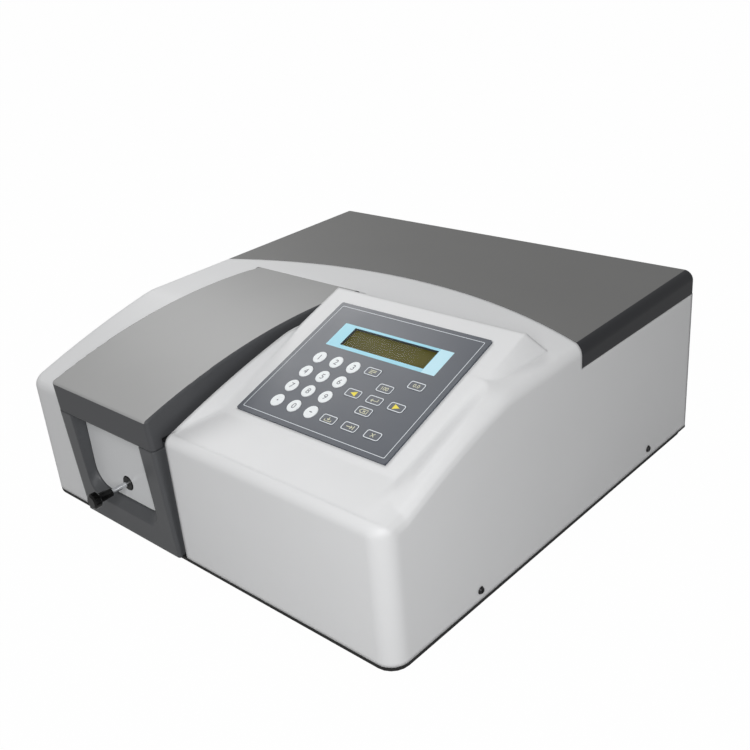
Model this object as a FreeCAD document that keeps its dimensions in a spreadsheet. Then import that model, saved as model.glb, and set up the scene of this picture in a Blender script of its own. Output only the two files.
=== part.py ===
import FreeCAD, Part
import math
import os
import re
import Sketcher

Vector = FreeCAD.Vector
doc = FreeCAD.newDocument("spectrophotometer")
sizes = doc.addObject("Spreadsheet::Sheet", "Sizes")

# Driving dimensions in millimetres and degrees.
# X runs to the right, Y to the rear and Z up, from the middle of the base plate's underside.
DRIVING = {
    # Moulded housing
    "body_width": 470, "body_depth": 464, "wall": 3, "corner_radius": 17,
    "fold_height": 124, "fold_round": 9, "side_round": 9.5, "slope_radius": 1060,
    "knee_setback": 154, "knee_height": 169, "knee_round": 80, "rear_height": 173.3,
    # Rear cover
    "seam_radius": 540, "seam_setback": 313.8, "cover_edge_height": 149.5, "seam_gap": 0.4,
    # Base plate, feet and housing screws
    "plate_thickness": 2.5, "flange_height": 22, "flange_thickness": 2,
    "foot_height": 8, "foot_radius": 12, "foot_taper": 1.5, "foot_inset": 42,
    "screw_radius": 2, "screw_head_radius": 3.6, "screw_head_height": 1.6, "screw_height": 12,
    "screw_setback": 108, "screw_inset": 79,
    # Keypad console, a tilted face that ends in a ridge
    "console_tilt": 19.3, "ridge_setback": 223.4, "ridge_height": 189, "console_margin": 31,
    "crest_run": 15.2, "crest_side_run": 11, "apron_setback": 8, "apron_depth": 56, "apron_height": 126.5,
    "sink_margin": 39, "sink_wall_slope": 0.65, "shoulder_setback": 27, "shoulder_drop": 7,
    # Keypad panel, measured along the tilted face from the ridge
    "panel_left": 9, "panel_low": -168.9, "panel_width": 173.5, "panel_length": 150.5,
    "panel_depth": 1, "panel_proud": 1.5, "panel_ledge": 5, "panel_round": 2, "board_gap": 0.9,
    "board_thickness": 1.6, "board_inset": 1.5, "key_gap": 0.3, "key_proud": 0.2, "key_depth": 0.9,
    "number_key_width": 12.5, "number_key_length": 14, "function_key_width": 16.3,
    "function_key_length": 9.3, "function_key_round": 2.6,
    "number_column": 32.3, "number_column_pitch": 20.45, "number_row": 21.8, "number_row_pitch": 19.3,
    # Display
    "window_left": 39.3, "window_low": 100.3, "window_width": 96.7, "window_height": 23.2,
    "pane_gap": 0.1, "pane_thickness": 1.2, "module_border": 6, "module_depth": 9, "glass_drop": 0.8,
    # Sample lid
    "lid_margin": 67, "lid_width": 147.7, "lid_overhang": 11, "lid_front_height": 143.3,
    "lid_skirt_height": 114, "lid_lean": 1.6, "lid_radius": 673, "lid_wall": 3,
    "lid_edge_height": 122.5, "lid_round": 2.5, "lid_corner": 4, "pivot_setback": 253.6, "pivot_height": 167.3,
    "barrel_radius": 6.2, "pin_radius": 1.6, "running_gap": 0.05, "lid_gap": 0.6,
    "seal_thickness": 3, "seal_width": 5, "seal_gap": 0.3, "seal_margin": 1.5,
    # Slot in the housing around the lid
    "slot_margin_left": 3.7, "slot_margin_right": 6.6, "slot_wall": 2.5, "slot_wall_low": 106,
    # Front frame and the plate inside it
    "frame_overhang": 3, "frame_bottom": 0.6, "frame_depth": 7, "frame_post_left": 19.5,
    "frame_post_right": 20.2, "frame_ledge_front": 26, "frame_ledge_rear": 34,
    "frame_round_front": 13, "frame_round_rear": 21, "frame_edge_round": 3,
    "rod_panel_thickness": 2, "rod_panel_overlap": 4,
    # Sample chamber
    "chamber_margin_left": 10, "chamber_margin_right": 10.7, "chamber_setback": 27, "chamber_length": 210,
    "chamber_wall": 3, "chamber_floor": 18, "deck_top": 121, "deck_thickness": 3, "deck_gap": 0.5,
    "beam_height": 60, "beam_radius": 5,
    # Cell carriage
    "rod_height": 51, "rod_radius": 2.5, "rod_reach": 4, "cell_pitch": 16,
    "cell_size": 12.6, "cell_floor": 44, "cell_top": 78, "cell_wall": 3.2, "cell_window_width": 7,
    "carriage_half_width": 30, "carriage_half_length": 36, "carriage_low": 26, "carriage_top": 40,
    "rail_offset": 22, "rail_height": 33, "rail_radius": 3, "sliding_gap": 0.06,
    "grommet_radius": 6.4, "grommet_flange": 7.6, "grommet_lip": 1,
    "knob_sleeve_radius": 4, "knob_neck_radius": 4.8, "knob_radius": 7.6, "knob_length": 22,
    "knob_disc": 8,
    # Detector
    "detector_length": 42, "detector_width": 60, "detector_low": 30, "detector_height": 60,
    # Monochromator
    "case_left": 12, "case_margin": 35, "case_setback": 82, "case_length": 210, "case_height": 82,
    "case_wall": 4, "case_cover": 3, "case_mount": 10,
    "grating_x": 96, "grating_y": 0, "table_radius": 20, "table_thickness": 5, "table_height": 32,
    "shaft_radius": 4, "arm_length": 57, "arm_tip_radius": 3, "arm_thickness": 5, "nut_gap": 0.3, "nut_nose": 3,
    "screw_thread_radius": 3, "nut_size": 14, "nut_length": 9,
    "grating_width": 30, "grating_thickness": 6, "grating_height": 30,
    "mirror_width": 36, "mirror_height": 36, "mirror_thickness": 8,
    "motor_size": 28, "motor_length": 34, "motor_shaft_radius": 2.5,
    # Filter wheel and lamp
    "wheel_radius": 27, "wheel_thickness": 3, "wheel_gap": 6, "filter_radius": 5, "filter_circle": 20,
    "filter_count": 6, "lamp_x": 60, "lamp_setback": 82, "bulb_radius": 5.5, "bulb_height": 22,
    "lamp_house_size": 54, "sheet": 1.5,
    # Fan
    "fan_margin": 135, "fan_height": 62, "fan_size": 60, "fan_depth": 15, "fan_duct_radius": 28,
    "fan_tip_gap": 1, "fan_hub_radius": 11, "blade_count": 7, "blade_thickness": 1.4,
    "blade_pitch": 38,
    # Back panel, power inlet and switch
    "panel_sheet": 1.5, "grille_slots": 9, "grille_pitch": 6, "grille_slot": 3,
    "inlet_margin": 85, "inlet_height": 42, "inlet_width": 66, "inlet_tall": 30, "inlet_flange": 2,
    "inlet_depth": 26, "socket_width": 24, "socket_tall": 16.5, "socket_depth": 17, "pin_inset": 5,
    "rocker_width": 12, "rocker_tall": 20, "rocker_gap": 0.4, "rocker_tilt": 9, "rocker_inset": 8,
    "rocker_lip": 2.2, "rocker_narrow": 1.6,
    # Electronics
    "main_board_margin": 115, "main_board_inset": 112, "main_board_width": 150, "main_board_length": 110,
    "standoff_height": 8, "standoff_radius": 3, "supply_margin": 70, "supply_inset": 82,
}
for row, (name, number) in enumerate(DRIVING.items(), start=1):
    sizes.set(f"A{row}", name)
    sizes.set(f"B{row}", str(number))
    sizes.setAlias(f"B{row}", name)
doc.recompute()

# Places that follow from the driving dimensions
DERIVED = {
    "seam_apex": "seam_setback - body_depth / 2",
    "screw_front": "screw_setback - body_depth / 2", "screw_rear": "body_depth / 2 - screw_inset",
    "ridge_y": "ridge_setback - body_depth / 2", "console_right": "body_width / 2 - console_margin",
    "knee_y": "knee_setback - body_depth / 2",
    "top_slope": "(rear_height - knee_height) / (body_depth - knee_setback)",
    "sink_front": "apron_depth - body_depth / 2", "sink_right": "body_width / 2 - sink_margin",
    "sink_rear": "(knee_height - ridge_height + ridge_y * tan(console_tilt) - knee_y * top_slope)"
                 " / (tan(console_tilt) - top_slope)",
    "lid_left": "lid_margin - body_width / 2", "lid_right": "lid_left + lid_width",
    "lid_front": "-body_depth / 2 - lid_overhang", "pivot_y": "pivot_setback - body_depth / 2",
    "slot_left": "lid_left - slot_margin_left", "slot_right": "lid_right + slot_margin_right",
    "frame_foot_y": "-body_depth / 2 - frame_overhang", "frame_rear": "frame_foot_y + frame_depth",
    "frame_opening_left": "lid_left + frame_post_left", "frame_opening_right": "lid_right - frame_post_right",
    "chamber_left": "lid_left + chamber_margin_left", "chamber_right": "lid_right - chamber_margin_right",
    "chamber_front": "chamber_setback - body_depth / 2", "chamber_rear": "chamber_front + chamber_length",
    "beam_y": "(chamber_front + chamber_rear) / 2",
    "rod_x": "(frame_opening_left + frame_opening_right) / 2", "rod_end": "lid_front - rod_reach",
    "case_right": "body_width / 2 - case_margin", "case_front": "case_setback - body_depth / 2",
    "case_rear": "case_front + case_length", "lamp_y": "case_rear + lamp_setback",
    "fan_x": "body_width / 2 - fan_margin", "inlet_x": "inlet_margin - body_width / 2",
    "main_board_x": "main_board_margin - body_width / 2", "main_board_y": "body_depth / 2 - main_board_inset",
    "supply_x": "body_width / 2 - supply_margin", "supply_y": "body_depth / 2 - supply_inset",
}
FRONT = "(-body_depth / 2)"
REAR = "(body_depth / 2)"
SIDE = "(body_width / 2)"
SKIN_LOW = "plate_thickness"
KNOB_END = "(rod_end - knob_length)"
ROCKER_HALF = "(rocker_tall / 2 - rocker_narrow)"
ROCKER_FACE = "(rocker_inset + rocker_lip)"
ROCKER_REACH = f"({ROCKER_FACE} * cos(rocker_tilt) + {ROCKER_HALF} * sin(rocker_tilt) - rocker_inset)"
REAR_REACH = f"(body_depth / 2 + panel_sheet + inlet_flange + {ROCKER_REACH})"
ROW_SHIFT = f"(-({KNOB_END}) - {REAR_REACH}) / 2"
SLOT_REAR = "(pivot_y + barrel_radius + lid_gap)"
CARRIAGE_Y = "(beam_y + cell_pitch / 2)"
PANEL_TOP = "panel_proud"
BOARD_TOP = "(-panel_depth - board_gap)"
NUT_X = "(grating_x + arm_length)"
NUT_FACE = "(grating_y - arm_tip_radius - nut_gap)"
SCREW_Z = "(table_height - arm_thickness - screw_thread_radius - 1)"
OUTER_REAR = "(body_depth / 2 + panel_sheet)"

finished = []


def linked(text):
    """Write the derived places out and point every size name at the sheet."""
    def spelled(word):
        if word[0] in DERIVED:
            return f"({linked(DERIVED[word[0]])})"
        return "Sizes." + word[0] if word[0] in DRIVING else word[0]

    return re.sub(r"[a-z_]+", spelled, text)


def value(text):
    """Work an expression out from the sheet's present numbers."""
    return float(sizes.evalExpression(linked(text)))


def tie(made, path, text):
    """Bind a property to an expression of sizes."""
    made.setExpression(path, linked(text))


# Primitives and booleans
def box(name, x, y, z):
    """A block between a low and a high expression on each axis."""
    made = doc.addObject("Part::Box", name)
    for side, axis, (low, high) in (("Length", "x", x), ("Width", "y", y), ("Height", "z", z)):
        tie(made, side, f"({high}) - ({low})")
        tie(made, f"Placement.Base.{axis}", low)
    return made


TURNS = {"x": (Vector(0, 1, 0), 90), "y": (Vector(1, 0, 0), -90), "z": (Vector(0, 0, 1), 0)}


def lay_along(made, axis, centre, low):
    """Stand a round primitive on its axis, with its centre given on the other two axes."""
    turn_axis, turn = TURNS[axis]
    made.Placement = FreeCAD.Placement(Vector(), FreeCAD.Rotation(turn_axis, turn))
    others = [letter for letter in "xyz" if letter != axis]
    for letter, text in list(zip(others, centre)) + [(axis, low)]:
        tie(made, f"Placement.Base.{letter}", text)


def cylinder(name, axis, centre, span, radius):
    """A round bar along one axis."""
    made = doc.addObject("Part::Cylinder", name)
    lay_along(made, axis, centre, span[0])
    tie(made, "Height", f"({span[1]}) - ({span[0]})")
    tie(made, "Radius", radius)
    return made


def cone(name, axis, centre, span, radii):
    """A tapered bar along one axis."""
    made = doc.addObject("Part::Cone", name)
    lay_along(made, axis, centre, span[0])
    tie(made, "Height", f"({span[1]}) - ({span[0]})")
    tie(made, "Radius1", radii[0])
    tie(made, "Radius2", radii[1])
    return made


def fuse(name, *parts):
    """One solid of several."""
    made = doc.addObject("Part::MultiFuse", name)
    made.Shapes = list(parts)
    made.Refine = True
    return made


def bunch(name, *parts):
    """Separate solids kept together."""
    made = doc.addObject("Part::Compound", name)
    made.Links = list(parts)
    return made


def cut(name, base, *tools):
    """Take tools away from a base."""
    made = doc.addObject("Part::Cut", name)
    made.Base = base
    made.Tool = tools[0] if len(tools) == 1 else fuse(name + "_tools", *tools)
    return made


def overlap(name, first, second):
    """What two solids share."""
    made = doc.addObject("Part::Common", name)
    made.Base = first
    made.Tool = second
    return made


def shaped(name, shape):
    """A form built directly from curves, where no primitive or sketch fits."""
    made = doc.addObject("Part::Feature", name)
    made.Shape = shape
    return made


def edge_numbers(shape, test):
    """Numbers of the edges that pass a test."""
    return [number for number, edge in enumerate(shape.Edges, start=1) if test(edge)]


def rounded(name, base, *rounds):
    """Fillet groups of edges; a round is a test with a start and an end radius expression."""
    doc.recompute()
    made = doc.addObject("Part::Fillet", name)
    made.Base = base
    edges = []
    for test, start, end in rounds:
        for number in edge_numbers(base.Shape, test):
            edges.append((number, value(start), value(end)))
    made.Edges = edges
    return made


def upright(edge):
    """Whether an edge runs along Z."""
    box_of_edge = edge.BoundBox
    return box_of_edge.XLength < 0.01 and box_of_edge.YLength < 0.01


def finish(made, label, tilted=False):
    """Name a sub-part and place it in the row frame, or on the console's tilted face."""
    placed = bunch(label, made)
    placed.Label = label
    height = "foot_height"
    across = ROW_SHIFT
    if tilted:
        tilt = FreeCAD.Rotation(Vector(1, 0, 0), value("console_tilt"))
        placed.Placement = FreeCAD.Placement(Vector(), tilt)
        tie(placed, "Placement.Rotation.Angle", "console_tilt")
        height = "foot_height + ridge_height"
        across = f"{ROW_SHIFT} + ridge_y"
    tie(placed, "Placement.Base.y", across)
    tie(placed, "Placement.Base.z", height)
    finished.append(placed)
    return placed


def on_console(made):
    """Place a tool on the console's tilted face, in the housing's own frame."""
    placed = bunch(made.Name + "_tilted", made)
    tilt = FreeCAD.Rotation(Vector(1, 0, 0), value("console_tilt"))
    placed.Placement = FreeCAD.Placement(Vector(), tilt)
    tie(placed, "Placement.Rotation.Angle", "console_tilt")
    tie(placed, "Placement.Base.y", "ridge_y")
    tie(placed, "Placement.Base.z", "ridge_height")
    return placed


# Bodies with sketches
def origin_plane(body, role):
    """One of a body's own origin planes."""
    return next(plane for plane in body.Origin.OriginFeatures if plane.Role == role)


def arc_between(start, end, radius):
    """An arc whose centre lies to the right of its way, or to the left if the radius is negative."""
    across, along = end[0] - start[0], end[1] - start[1]
    chord = math.hypot(across, along)
    reach = math.sqrt(radius * radius - chord * chord / 4) * (1 if radius > 0 else -1)
    centre = ((start[0] + end[0]) / 2 + along / chord * reach,
              (start[1] + end[1]) / 2 - across / chord * reach)
    from_start = math.atan2(start[1] - centre[1], start[0] - centre[0])
    from_end = math.atan2(end[1] - centre[1], end[0] - centre[0])
    circle = Part.Circle(Vector(centre[0], centre[1], 0), Vector(0, 0, 1), abs(radius))
    if radius > 0:
        return Part.ArcOfCircle(circle, from_end, from_start)
    return Part.ArcOfCircle(circle, from_start, from_end)


def outline(body, name, role, points, arcs=None):
    """A closed sketch through points given as expressions; arcs maps a side's number to its radius."""
    arcs = arcs or {}
    sketch = body.newObject("Sketcher::SketchObject", name)
    sketch.AttachmentSupport = [(origin_plane(body, role), "")]
    sketch.MapMode = "FlatFace"
    places = [(value(across), value(along)) for across, along in points]
    starts = []
    for side, start in enumerate(places):
        end = places[(side + 1) % len(places)]
        if side in arcs:
            radius = value(arcs[side])
            sketch.addGeometry(arc_between(start, end, radius))
            starts.append((2, 1) if radius > 0 else (1, 2))
        else:
            sketch.addGeometry(Part.LineSegment(Vector(*start, 0), Vector(*end, 0)))
            starts.append((1, 2))
    for side in range(len(places)):
        following = (side + 1) % len(places)
        sketch.addConstraint(
            Sketcher.Constraint("Coincident", side, starts[side][1], following, starts[following][0]))
    for side, (across, along) in enumerate(points):
        for kind, text, number in (("DistanceX", across, 0), ("DistanceY", along, 1)):
            index = sketch.addConstraint(
                Sketcher.Constraint(kind, -1, 1, side, starts[side][0], places[side][number]))
            tie(sketch, f"Constraints[{index}]", text)
    for side, text in arcs.items():
        index = sketch.addConstraint(Sketcher.Constraint("Radius", side, abs(value(text))))
        tie(sketch, f"Constraints[{index}]", f"abs({text})")
    return sketch


def padded(name, role, points, length, arcs=None, middle="0"):
    """A body padded both ways from an origin plane, then moved along its padding direction."""
    body = doc.addObject("PartDesign::Body", name)
    profile = outline(body, name + "_profile", role, points, arcs)
    pad = body.newObject("PartDesign::Pad", name + "_pad")
    pad.Profile = profile
    pad.Midplane = True
    tie(pad, "Length", length)
    letter = {"YZ_Plane": "x", "XZ_Plane": "y", "XY_Plane": "z"}[role]
    tie(body, f"Placement.Base.{letter}", middle)
    return body


def turned(name, axis, centre, start, points):
    """A body revolved about an axis; points are radius and distance along it from the start."""
    body = doc.addObject("PartDesign::Body", name)
    profile = outline(body, name + "_profile", "XZ_Plane", points)
    revolve = body.newObject("PartDesign::Revolution", name + "_revolution")
    revolve.Profile = profile
    revolve.ReferenceAxis = (profile, ["V_Axis"])
    revolve.Angle = 360
    lay_along(body, axis, centre, start)
    return body


# Moulded form of the housing, inset for its inside
def moulded_form(name, inset, low):
    """The housing's side profile padded across its width, with its edges rounded."""
    half = f"({SIDE} - {inset})"
    front = f"({FRONT} + {inset})"
    knee = f"({FRONT} + knee_setback)"
    points = [
        (front, low), (front, f"fold_height - {inset}"), (knee, f"knee_height - {inset}"),
        (REAR, f"rear_height - {inset}"), (REAR, low)]
    form = padded(name, "YZ_Plane", points, f"2 * {half}", {1: "slope_radius"})
    doc.recompute()
    knee_y, knee_z, front_y, side_x = value(knee), value(f"knee_height - {inset}"), value(front), value(half)
    knee_edge = edge_numbers(form.Shape, lambda edge: edge.Length > side_x and math.hypot(
        edge.CenterOfMass.y - knee_y, edge.CenterOfMass.z - knee_z) < 0.1)
    pad = form.Tip
    smooth = form.newObject("PartDesign::Fillet", name + "_knee")
    smooth.Base = (pad, [f"Edge{number}" for number in knee_edge])
    tie(smooth, "Radius", "knee_round")
    form.Tip = smooth
    doc.recompute()
    corner_edges = edge_numbers(form.Shape, lambda edge: upright(edge) and edge.CenterOfMass.y < front_y + 1)
    corners = form.newObject("PartDesign::Fillet", name + "_corners")
    corners.Base = (smooth, [f"Edge{number}" for number in corner_edges])
    tie(corners, "Radius", f"corner_radius - {inset}")
    form.Tip = corners
    doc.recompute()
    top = value("fold_height") - 10

    def on_side(edge):
        middle = edge.CenterOfMass
        return abs(abs(middle.x) - side_x) < 0.2 and middle.z > top and edge.BoundBox.YLength > 5

    def on_front(edge):
        return edge.BoundBox.YLength < 0.01 and edge.CenterOfMass.y < front_y + 0.1 \
            and edge.CenterOfMass.z > top and edge.BoundBox.XLength > side_x

    def on_corner(edge):
        middle, reach = edge.CenterOfMass, edge.BoundBox
        return middle.z > top and reach.XLength > 5 and reach.YLength > 5 and middle.y < front_y + 30

    def from_side(edge):
        return on_corner(edge) and edge.Vertexes[0].Y > edge.Vertexes[-1].Y

    def from_front(edge):
        return on_corner(edge) and edge.Vertexes[0].Y <= edge.Vertexes[-1].Y

    side, fold = f"side_round - {inset}", f"fold_round - {inset}"
    return rounded(name + "_rounded", form, (on_side, side, side), (on_front, fold, fold),
                   (from_side, side, fold), (from_front, fold, side))


def slope_height(y):
    """Height of the housing's curved front slope."""
    start = (value(FRONT), value("fold_height"))
    end = (value(f"{FRONT} + knee_setback"), value("knee_height"))
    arc = arc_between(start, end, value("slope_radius"))
    return arc.Center.y + math.sqrt(arc.Radius ** 2 - (y - arc.Center.x) ** 2)


def console_height(y):
    """Height of the console's tilted face."""
    return value("ridge_height") + (y - value("ridge_y")) * math.tan(math.radians(value("console_tilt")))


def ruled_solid(name, sections):
    """A solid through side profiles, each an X and its (Y, Z) corners."""
    wires = []
    for x, corners in sections:
        ring = [Vector(x, y, z) for y, z in corners]
        wires.append(Part.makePolygon(ring + ring[:1]))
    return shaped(name, Part.makeLoft(wires, True, True))


# Console: clearance of its tools above the slope, and steps along their curves
SINK_CLEAR = 1.5
SINK_STEPS = 6


# Console: a wedge above the housing's slope and a sunk face in front of it
def console_wedge():
    """The raised part of the console, up to its ridge, with a hipped right end."""
    start, ridge, low = value("sink_rear"), value("ridge_y"), value("knee_height") - 16
    foot = ridge + value("crest_run")
    rise = value("knee_height + rear_height") / 2 - 1
    raised = [(start, low), (start, console_height(start) - 0.3), (ridge, value("ridge_height")),
              (foot, rise), (foot, low)]
    hip = [(start, low), (start, console_height(start) - 1), (foot - 0.2, rise - 0.1), (foot, rise - 0.2),
           (foot, low)]
    right = value("console_right")
    return ruled_solid("console_wedge", [
        (value("slot_right") - 5, raised), (right, raised), (right + value("crest_side_run"), hip)])


def sunk_height(y):
    """Height of the sunk face, with the flatter apron in front of it."""
    front, start = value(f"{FRONT} + apron_setback"), value("sink_front")
    apron, foot = value("apron_height"), console_height(start)
    return console_height(y) if y >= start else apron + (foot - apron) * (y - front) / (start - front)


def shoulder_height(y):
    """Height of the shoulder at the housing's right edge, which drops to the apron at its front."""
    start, rear = value(f"{FRONT} + shoulder_setback"), value("sink_rear")
    left = (rear - y) / (rear - start)
    return max(slope_height(y) + SINK_CLEAR - value("shoulder_drop") * left ** 2, sunk_height(y))


def sink_ring(x, curve, drop, run=None):
    """A closed ring near one X: the curve from front to rear, then up and over; run moves it sideways."""
    top = value("rear_height") + 10
    (front, _), (rear, _) = curve[0], curve[-1]
    places = [(y, z - drop) for y, z in curve] + [(rear, top), (front, top)]
    return [Vector(x + (run(y) if run else 0), y, z) for y, z in places]


def console_sink(name, drop, spread):
    """What lies above the sunk face; drop and spread keep the wall under it."""
    front, start, rear = value(f"{FRONT} + apron_setback"), value("sink_front"), value("sink_rear")
    foot = value(f"{FRONT} + shoulder_setback")
    left, right, side = value("slot_right") - spread, value("sink_right") + spread, value(SIDE)
    flat_end = side - value("side_round")

    def curve(height, near):
        stations = [near + (rear - near) * step / SINK_STEPS for step in range(SINK_STEPS + 1)]
        return [(y, height(y)) for y in [front] + stations]

    def wall_run(y):
        return max(value("sink_wall_slope") * (slope_height(y) - sunk_height(y)), 1)

    rings = [sink_ring(left, curve(lambda y: slope_height(y) + SINK_CLEAR, start), drop),
             sink_ring(left, curve(sunk_height, start), drop, wall_run),
             sink_ring(right, curve(sunk_height, start), drop)]
    for step in range(1, SINK_STEPS + 1):
        share = step / SINK_STEPS
        ease = share * share * (3 - 2 * share)
        swell = curve(lambda y: sunk_height(y) + (shoulder_height(y) - sunk_height(y)) * ease,
                      start + (foot - start) * ease)
        rings.append(sink_ring(right + (flat_end - right) * share, swell, drop))
    for turn in (30, 60, 90):
        angle = math.radians(turn)
        dip = value("side_round") * (1 - math.cos(angle))
        rings.append(sink_ring(flat_end + value("side_round") * math.sin(angle),
                               curve(shoulder_height, foot), drop + dip))
    return shaped(name, Part.makeLoft([Part.makePolygon(ring + ring[:1]) for ring in rings], True, True))


def panel_block(name, inset, low, high):
    """A block with the keypad panel's outline, on the console's face."""
    return box(name, (f"panel_left + {inset}", f"panel_left + panel_width - {inset}"),
               (f"panel_low + {inset}", f"panel_low + panel_length - {inset}"), (low, high))


# Rear cover zone: behind an arched seam in plan and above an edge on the sides
def cover_zone(name, gap):
    """Space that the rear cover takes, drawn in by a gap."""
    sag = f"(seam_radius - sqrt(seam_radius * seam_radius - ({SIDE} + 10) * ({SIDE} + 10)))"
    side_y = f"seam_apex - {sag} + {gap}"
    points = [(f"-({SIDE} + 10)", side_y), (f"{SIDE} + 10", side_y),
              (f"{SIDE} + 10", f"{REAR} + 10"), (f"-({SIDE} + 10)", f"{REAR} + 10")]
    height = f"(rear_height + 30 - cover_edge_height - {gap})"
    return padded(name, "XY_Plane", points, height, {0: "seam_radius"},
                  f"cover_edge_height + {gap} + {height} / 2")


SLOT = (("slot_left", "slot_right"), (f"{FRONT} - 30", SLOT_REAR), ("0", "rear_height + 30"))


def front_housing_and_cover():
    """One moulded skin, parted along the cover's seam."""
    outer = moulded_form("housing_form", "0", SKIN_LOW)
    inner = moulded_form("housing_inside", "wall", "-1")
    slot_walls = box("slot_walls", ("slot_left - slot_wall", "slot_right + slot_wall"),
                     (f"{FRONT} - 10", f"{SLOT_REAR} + slot_wall"), ("slot_wall_low", "rear_height + 20"))
    drop, spread = value("wall"), value("wall")
    doc.recompute()
    solid = cut("housing_solid", fuse("housing_with_console", outer, console_wedge()),
                console_sink("console_sink", 0, 0))
    rear_opening = box("rear_opening", (f"-({SIDE} - wall)", f"{SIDE} - wall"),
                       (f"{REAR} - 20", f"{REAR} + 10"), ("-1", "cover_edge_height"))
    hollow = cut("housing_hollow", inner, console_sink("console_sink_inside", drop, spread), slot_walls,
                 box("rear_wall", (f"-{SIDE}", SIDE), (f"{REAR} - wall", f"{REAR} + 10"),
                     ("cover_edge_height", "rear_height + 10")))
    skin = cut("skin", solid, hollow, rear_opening, box("lid_slot", *SLOT))
    rear_cover = overlap("cover_skin", skin, cover_zone("cover_outline", "seam_gap"))
    recess = on_console(panel_block("panel_recess", "-0.2", "-panel_depth", "20"))
    window = on_console(panel_block("panel_window", "panel_ledge", "-26", "1"))
    holes = []
    for side in ("-", ""):
        for number, place in enumerate(("screw_front", "screw_rear")):
            name = f"screw_hole_{'left' if side else 'right'}_{number}"
            holes.append(cylinder(name, "x", (place, "screw_height"),
                                  (f"{side}{SIDE} - 8", f"{side}{SIDE} + 8"), "screw_radius + 0.3"))
    pin_hole = cylinder("pin_hole", "x", ("pivot_y", "pivot_height"),
                        ("slot_left - slot_wall - 1", "slot_right + slot_wall + 1"), "pin_radius + running_gap")
    housing = cut("housing_skin", skin, cover_zone("cover_cut", "0"), recess, window, pin_hole, *holes)
    finish(housing, "front_housing")
    finish(rear_cover, "rear_cover")


def base_plate():
    """A steel tray with upturned side flanges for the housing screws."""
    plate = rounded("base_sheet", box("base_sheet_block", (f"-{SIDE} + 0.1", f"{SIDE} - 0.1"),
                                      (f"{FRONT} + 0.1", OUTER_REAR), ("0", "plate_thickness")),
                    (lambda edge: upright(edge) and edge.CenterOfMass.y < 0, "corner_radius", "corner_radius"))
    flanges = []
    for side, low, high in (("left", f"-{SIDE} + wall", f"-{SIDE} + wall + flange_thickness"),
                            ("right", f"{SIDE} - wall - flange_thickness", f"{SIDE} - wall")):
        flanges.append(box(f"flange_{side}", (low, high), ("screw_front - 40", "screw_rear + 40"),
                           ("0", "flange_height")))
    tray = fuse("tray", plate, *flanges)
    vents = [box("frame_notch", ("lid_left - deck_gap", "lid_right + deck_gap"),
                 (f"{FRONT} - 1", "frame_rear + 0.2"), ("-1", "plate_thickness + 1"))]
    for number in range(8):
        vents.append(box(f"vent_{number}", ("case_left + 60", "case_left + 120"),
                         (f"case_rear + 30 + {number} * 2 * grille_pitch",
                          f"case_rear + 30 + {number} * 2 * grille_pitch + grille_slot + 1"),
                         ("-1", "plate_thickness + 1")))
    for side in ("-", ""):
        for number, place in enumerate(("screw_front", "screw_rear")):
            name = f"flange_hole_{'left' if side else 'right'}_{number}"
            vents.append(cylinder(name, "x", (place, "screw_height"),
                                  (f"{side}{SIDE} - 8", f"{side}{SIDE} + 8"), "screw_radius"))
    finish(cut("vented_tray", tray, *vents), "base_plate")


def corner_signs():
    """The four corners, left front first."""
    return [(across, along) for along in ("-", "") for across in ("-", "")]


def rubber_feet():
    """Four tapered feet under the base plate."""
    feet = []
    for number, (across, along) in enumerate(corner_signs()):
        centre = (f"{across}({SIDE} - foot_inset)", f"{along}({REAR} - foot_inset)")
        feet.append(turned(f"foot_{number}", "z", centre, "-foot_height", [
            ("2", "1.5"), ("5", "1.5"), ("5", "0"), ("foot_radius - foot_taper", "0"),
            ("foot_radius", "foot_height"), ("2", "foot_height")]))
    finish(bunch("feet", *feet), "rubber_feet")


def housing_screws():
    """Pan head screws through the housing's sides into the tray's flanges."""
    screws = []
    for side in ("-", ""):
        for number, place in enumerate(("screw_front", "screw_rear")):
            name = f"screw_{'left' if side else 'right'}_{number}"
            shank_low, shank_high = (f"-{SIDE}", f"-{SIDE} + 7") if side else (f"{SIDE} - 7", SIDE)
            head = (f"-{SIDE} - screw_head_height", f"-{SIDE}") if side else (
                SIDE, f"{SIDE} + screw_head_height")
            radii = ("screw_head_radius - 1", "screw_head_radius") if side else (
                "screw_head_radius", "screw_head_radius - 1")
            shank = cylinder(name + "_shank", "x", (place, "screw_height"), (shank_low, shank_high),
                             "screw_radius")
            cap = cone(name + "_head", "x", (place, "screw_height"), head, radii)
            slot_x = (f"-{SIDE} - 3", f"-{SIDE} - screw_head_height / 2") if side else (
                f"{SIDE} + screw_head_height / 2", f"{SIDE} + 3")
            cross = [box(f"{name}_cross_{turn}", slot_x, (f"{place} - {long}", f"{place} + {long}"),
                         (f"screw_height - {wide}", f"screw_height + {wide}"))
                     for turn, (long, wide) in enumerate((("1.9", "0.4"), ("0.4", "1.9")))]
            screws.append(cut(name, fuse(name + "_solid", shank, cap), *cross))
    finish(bunch("screws", *screws), "housing_screws")


# Sample lid and the frame below it
def lid_form(name, inset, low):
    """The lid's arched side profile padded across its width."""
    lean = f"(lid_front + {inset})"
    points = [
        (f"lid_front + lid_lean + {inset}", low), (lean, f"lid_front_height - {inset}"),
        ("pivot_y", f"pivot_height + barrel_radius - {inset}"), ("pivot_y", f"pivot_height - 2 + {inset}"),
        ("pivot_y - 10", "lid_edge_height"), (f"frame_rear - 1.5 + {inset}", "lid_edge_height"),
        (f"frame_rear - 1.5 + {inset}", low)]
    return padded(name, "YZ_Plane", points, f"lid_right - lid_left - 2 * {inset}",
                  {1: "lid_radius"}, "(lid_left + lid_right) / 2")


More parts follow.
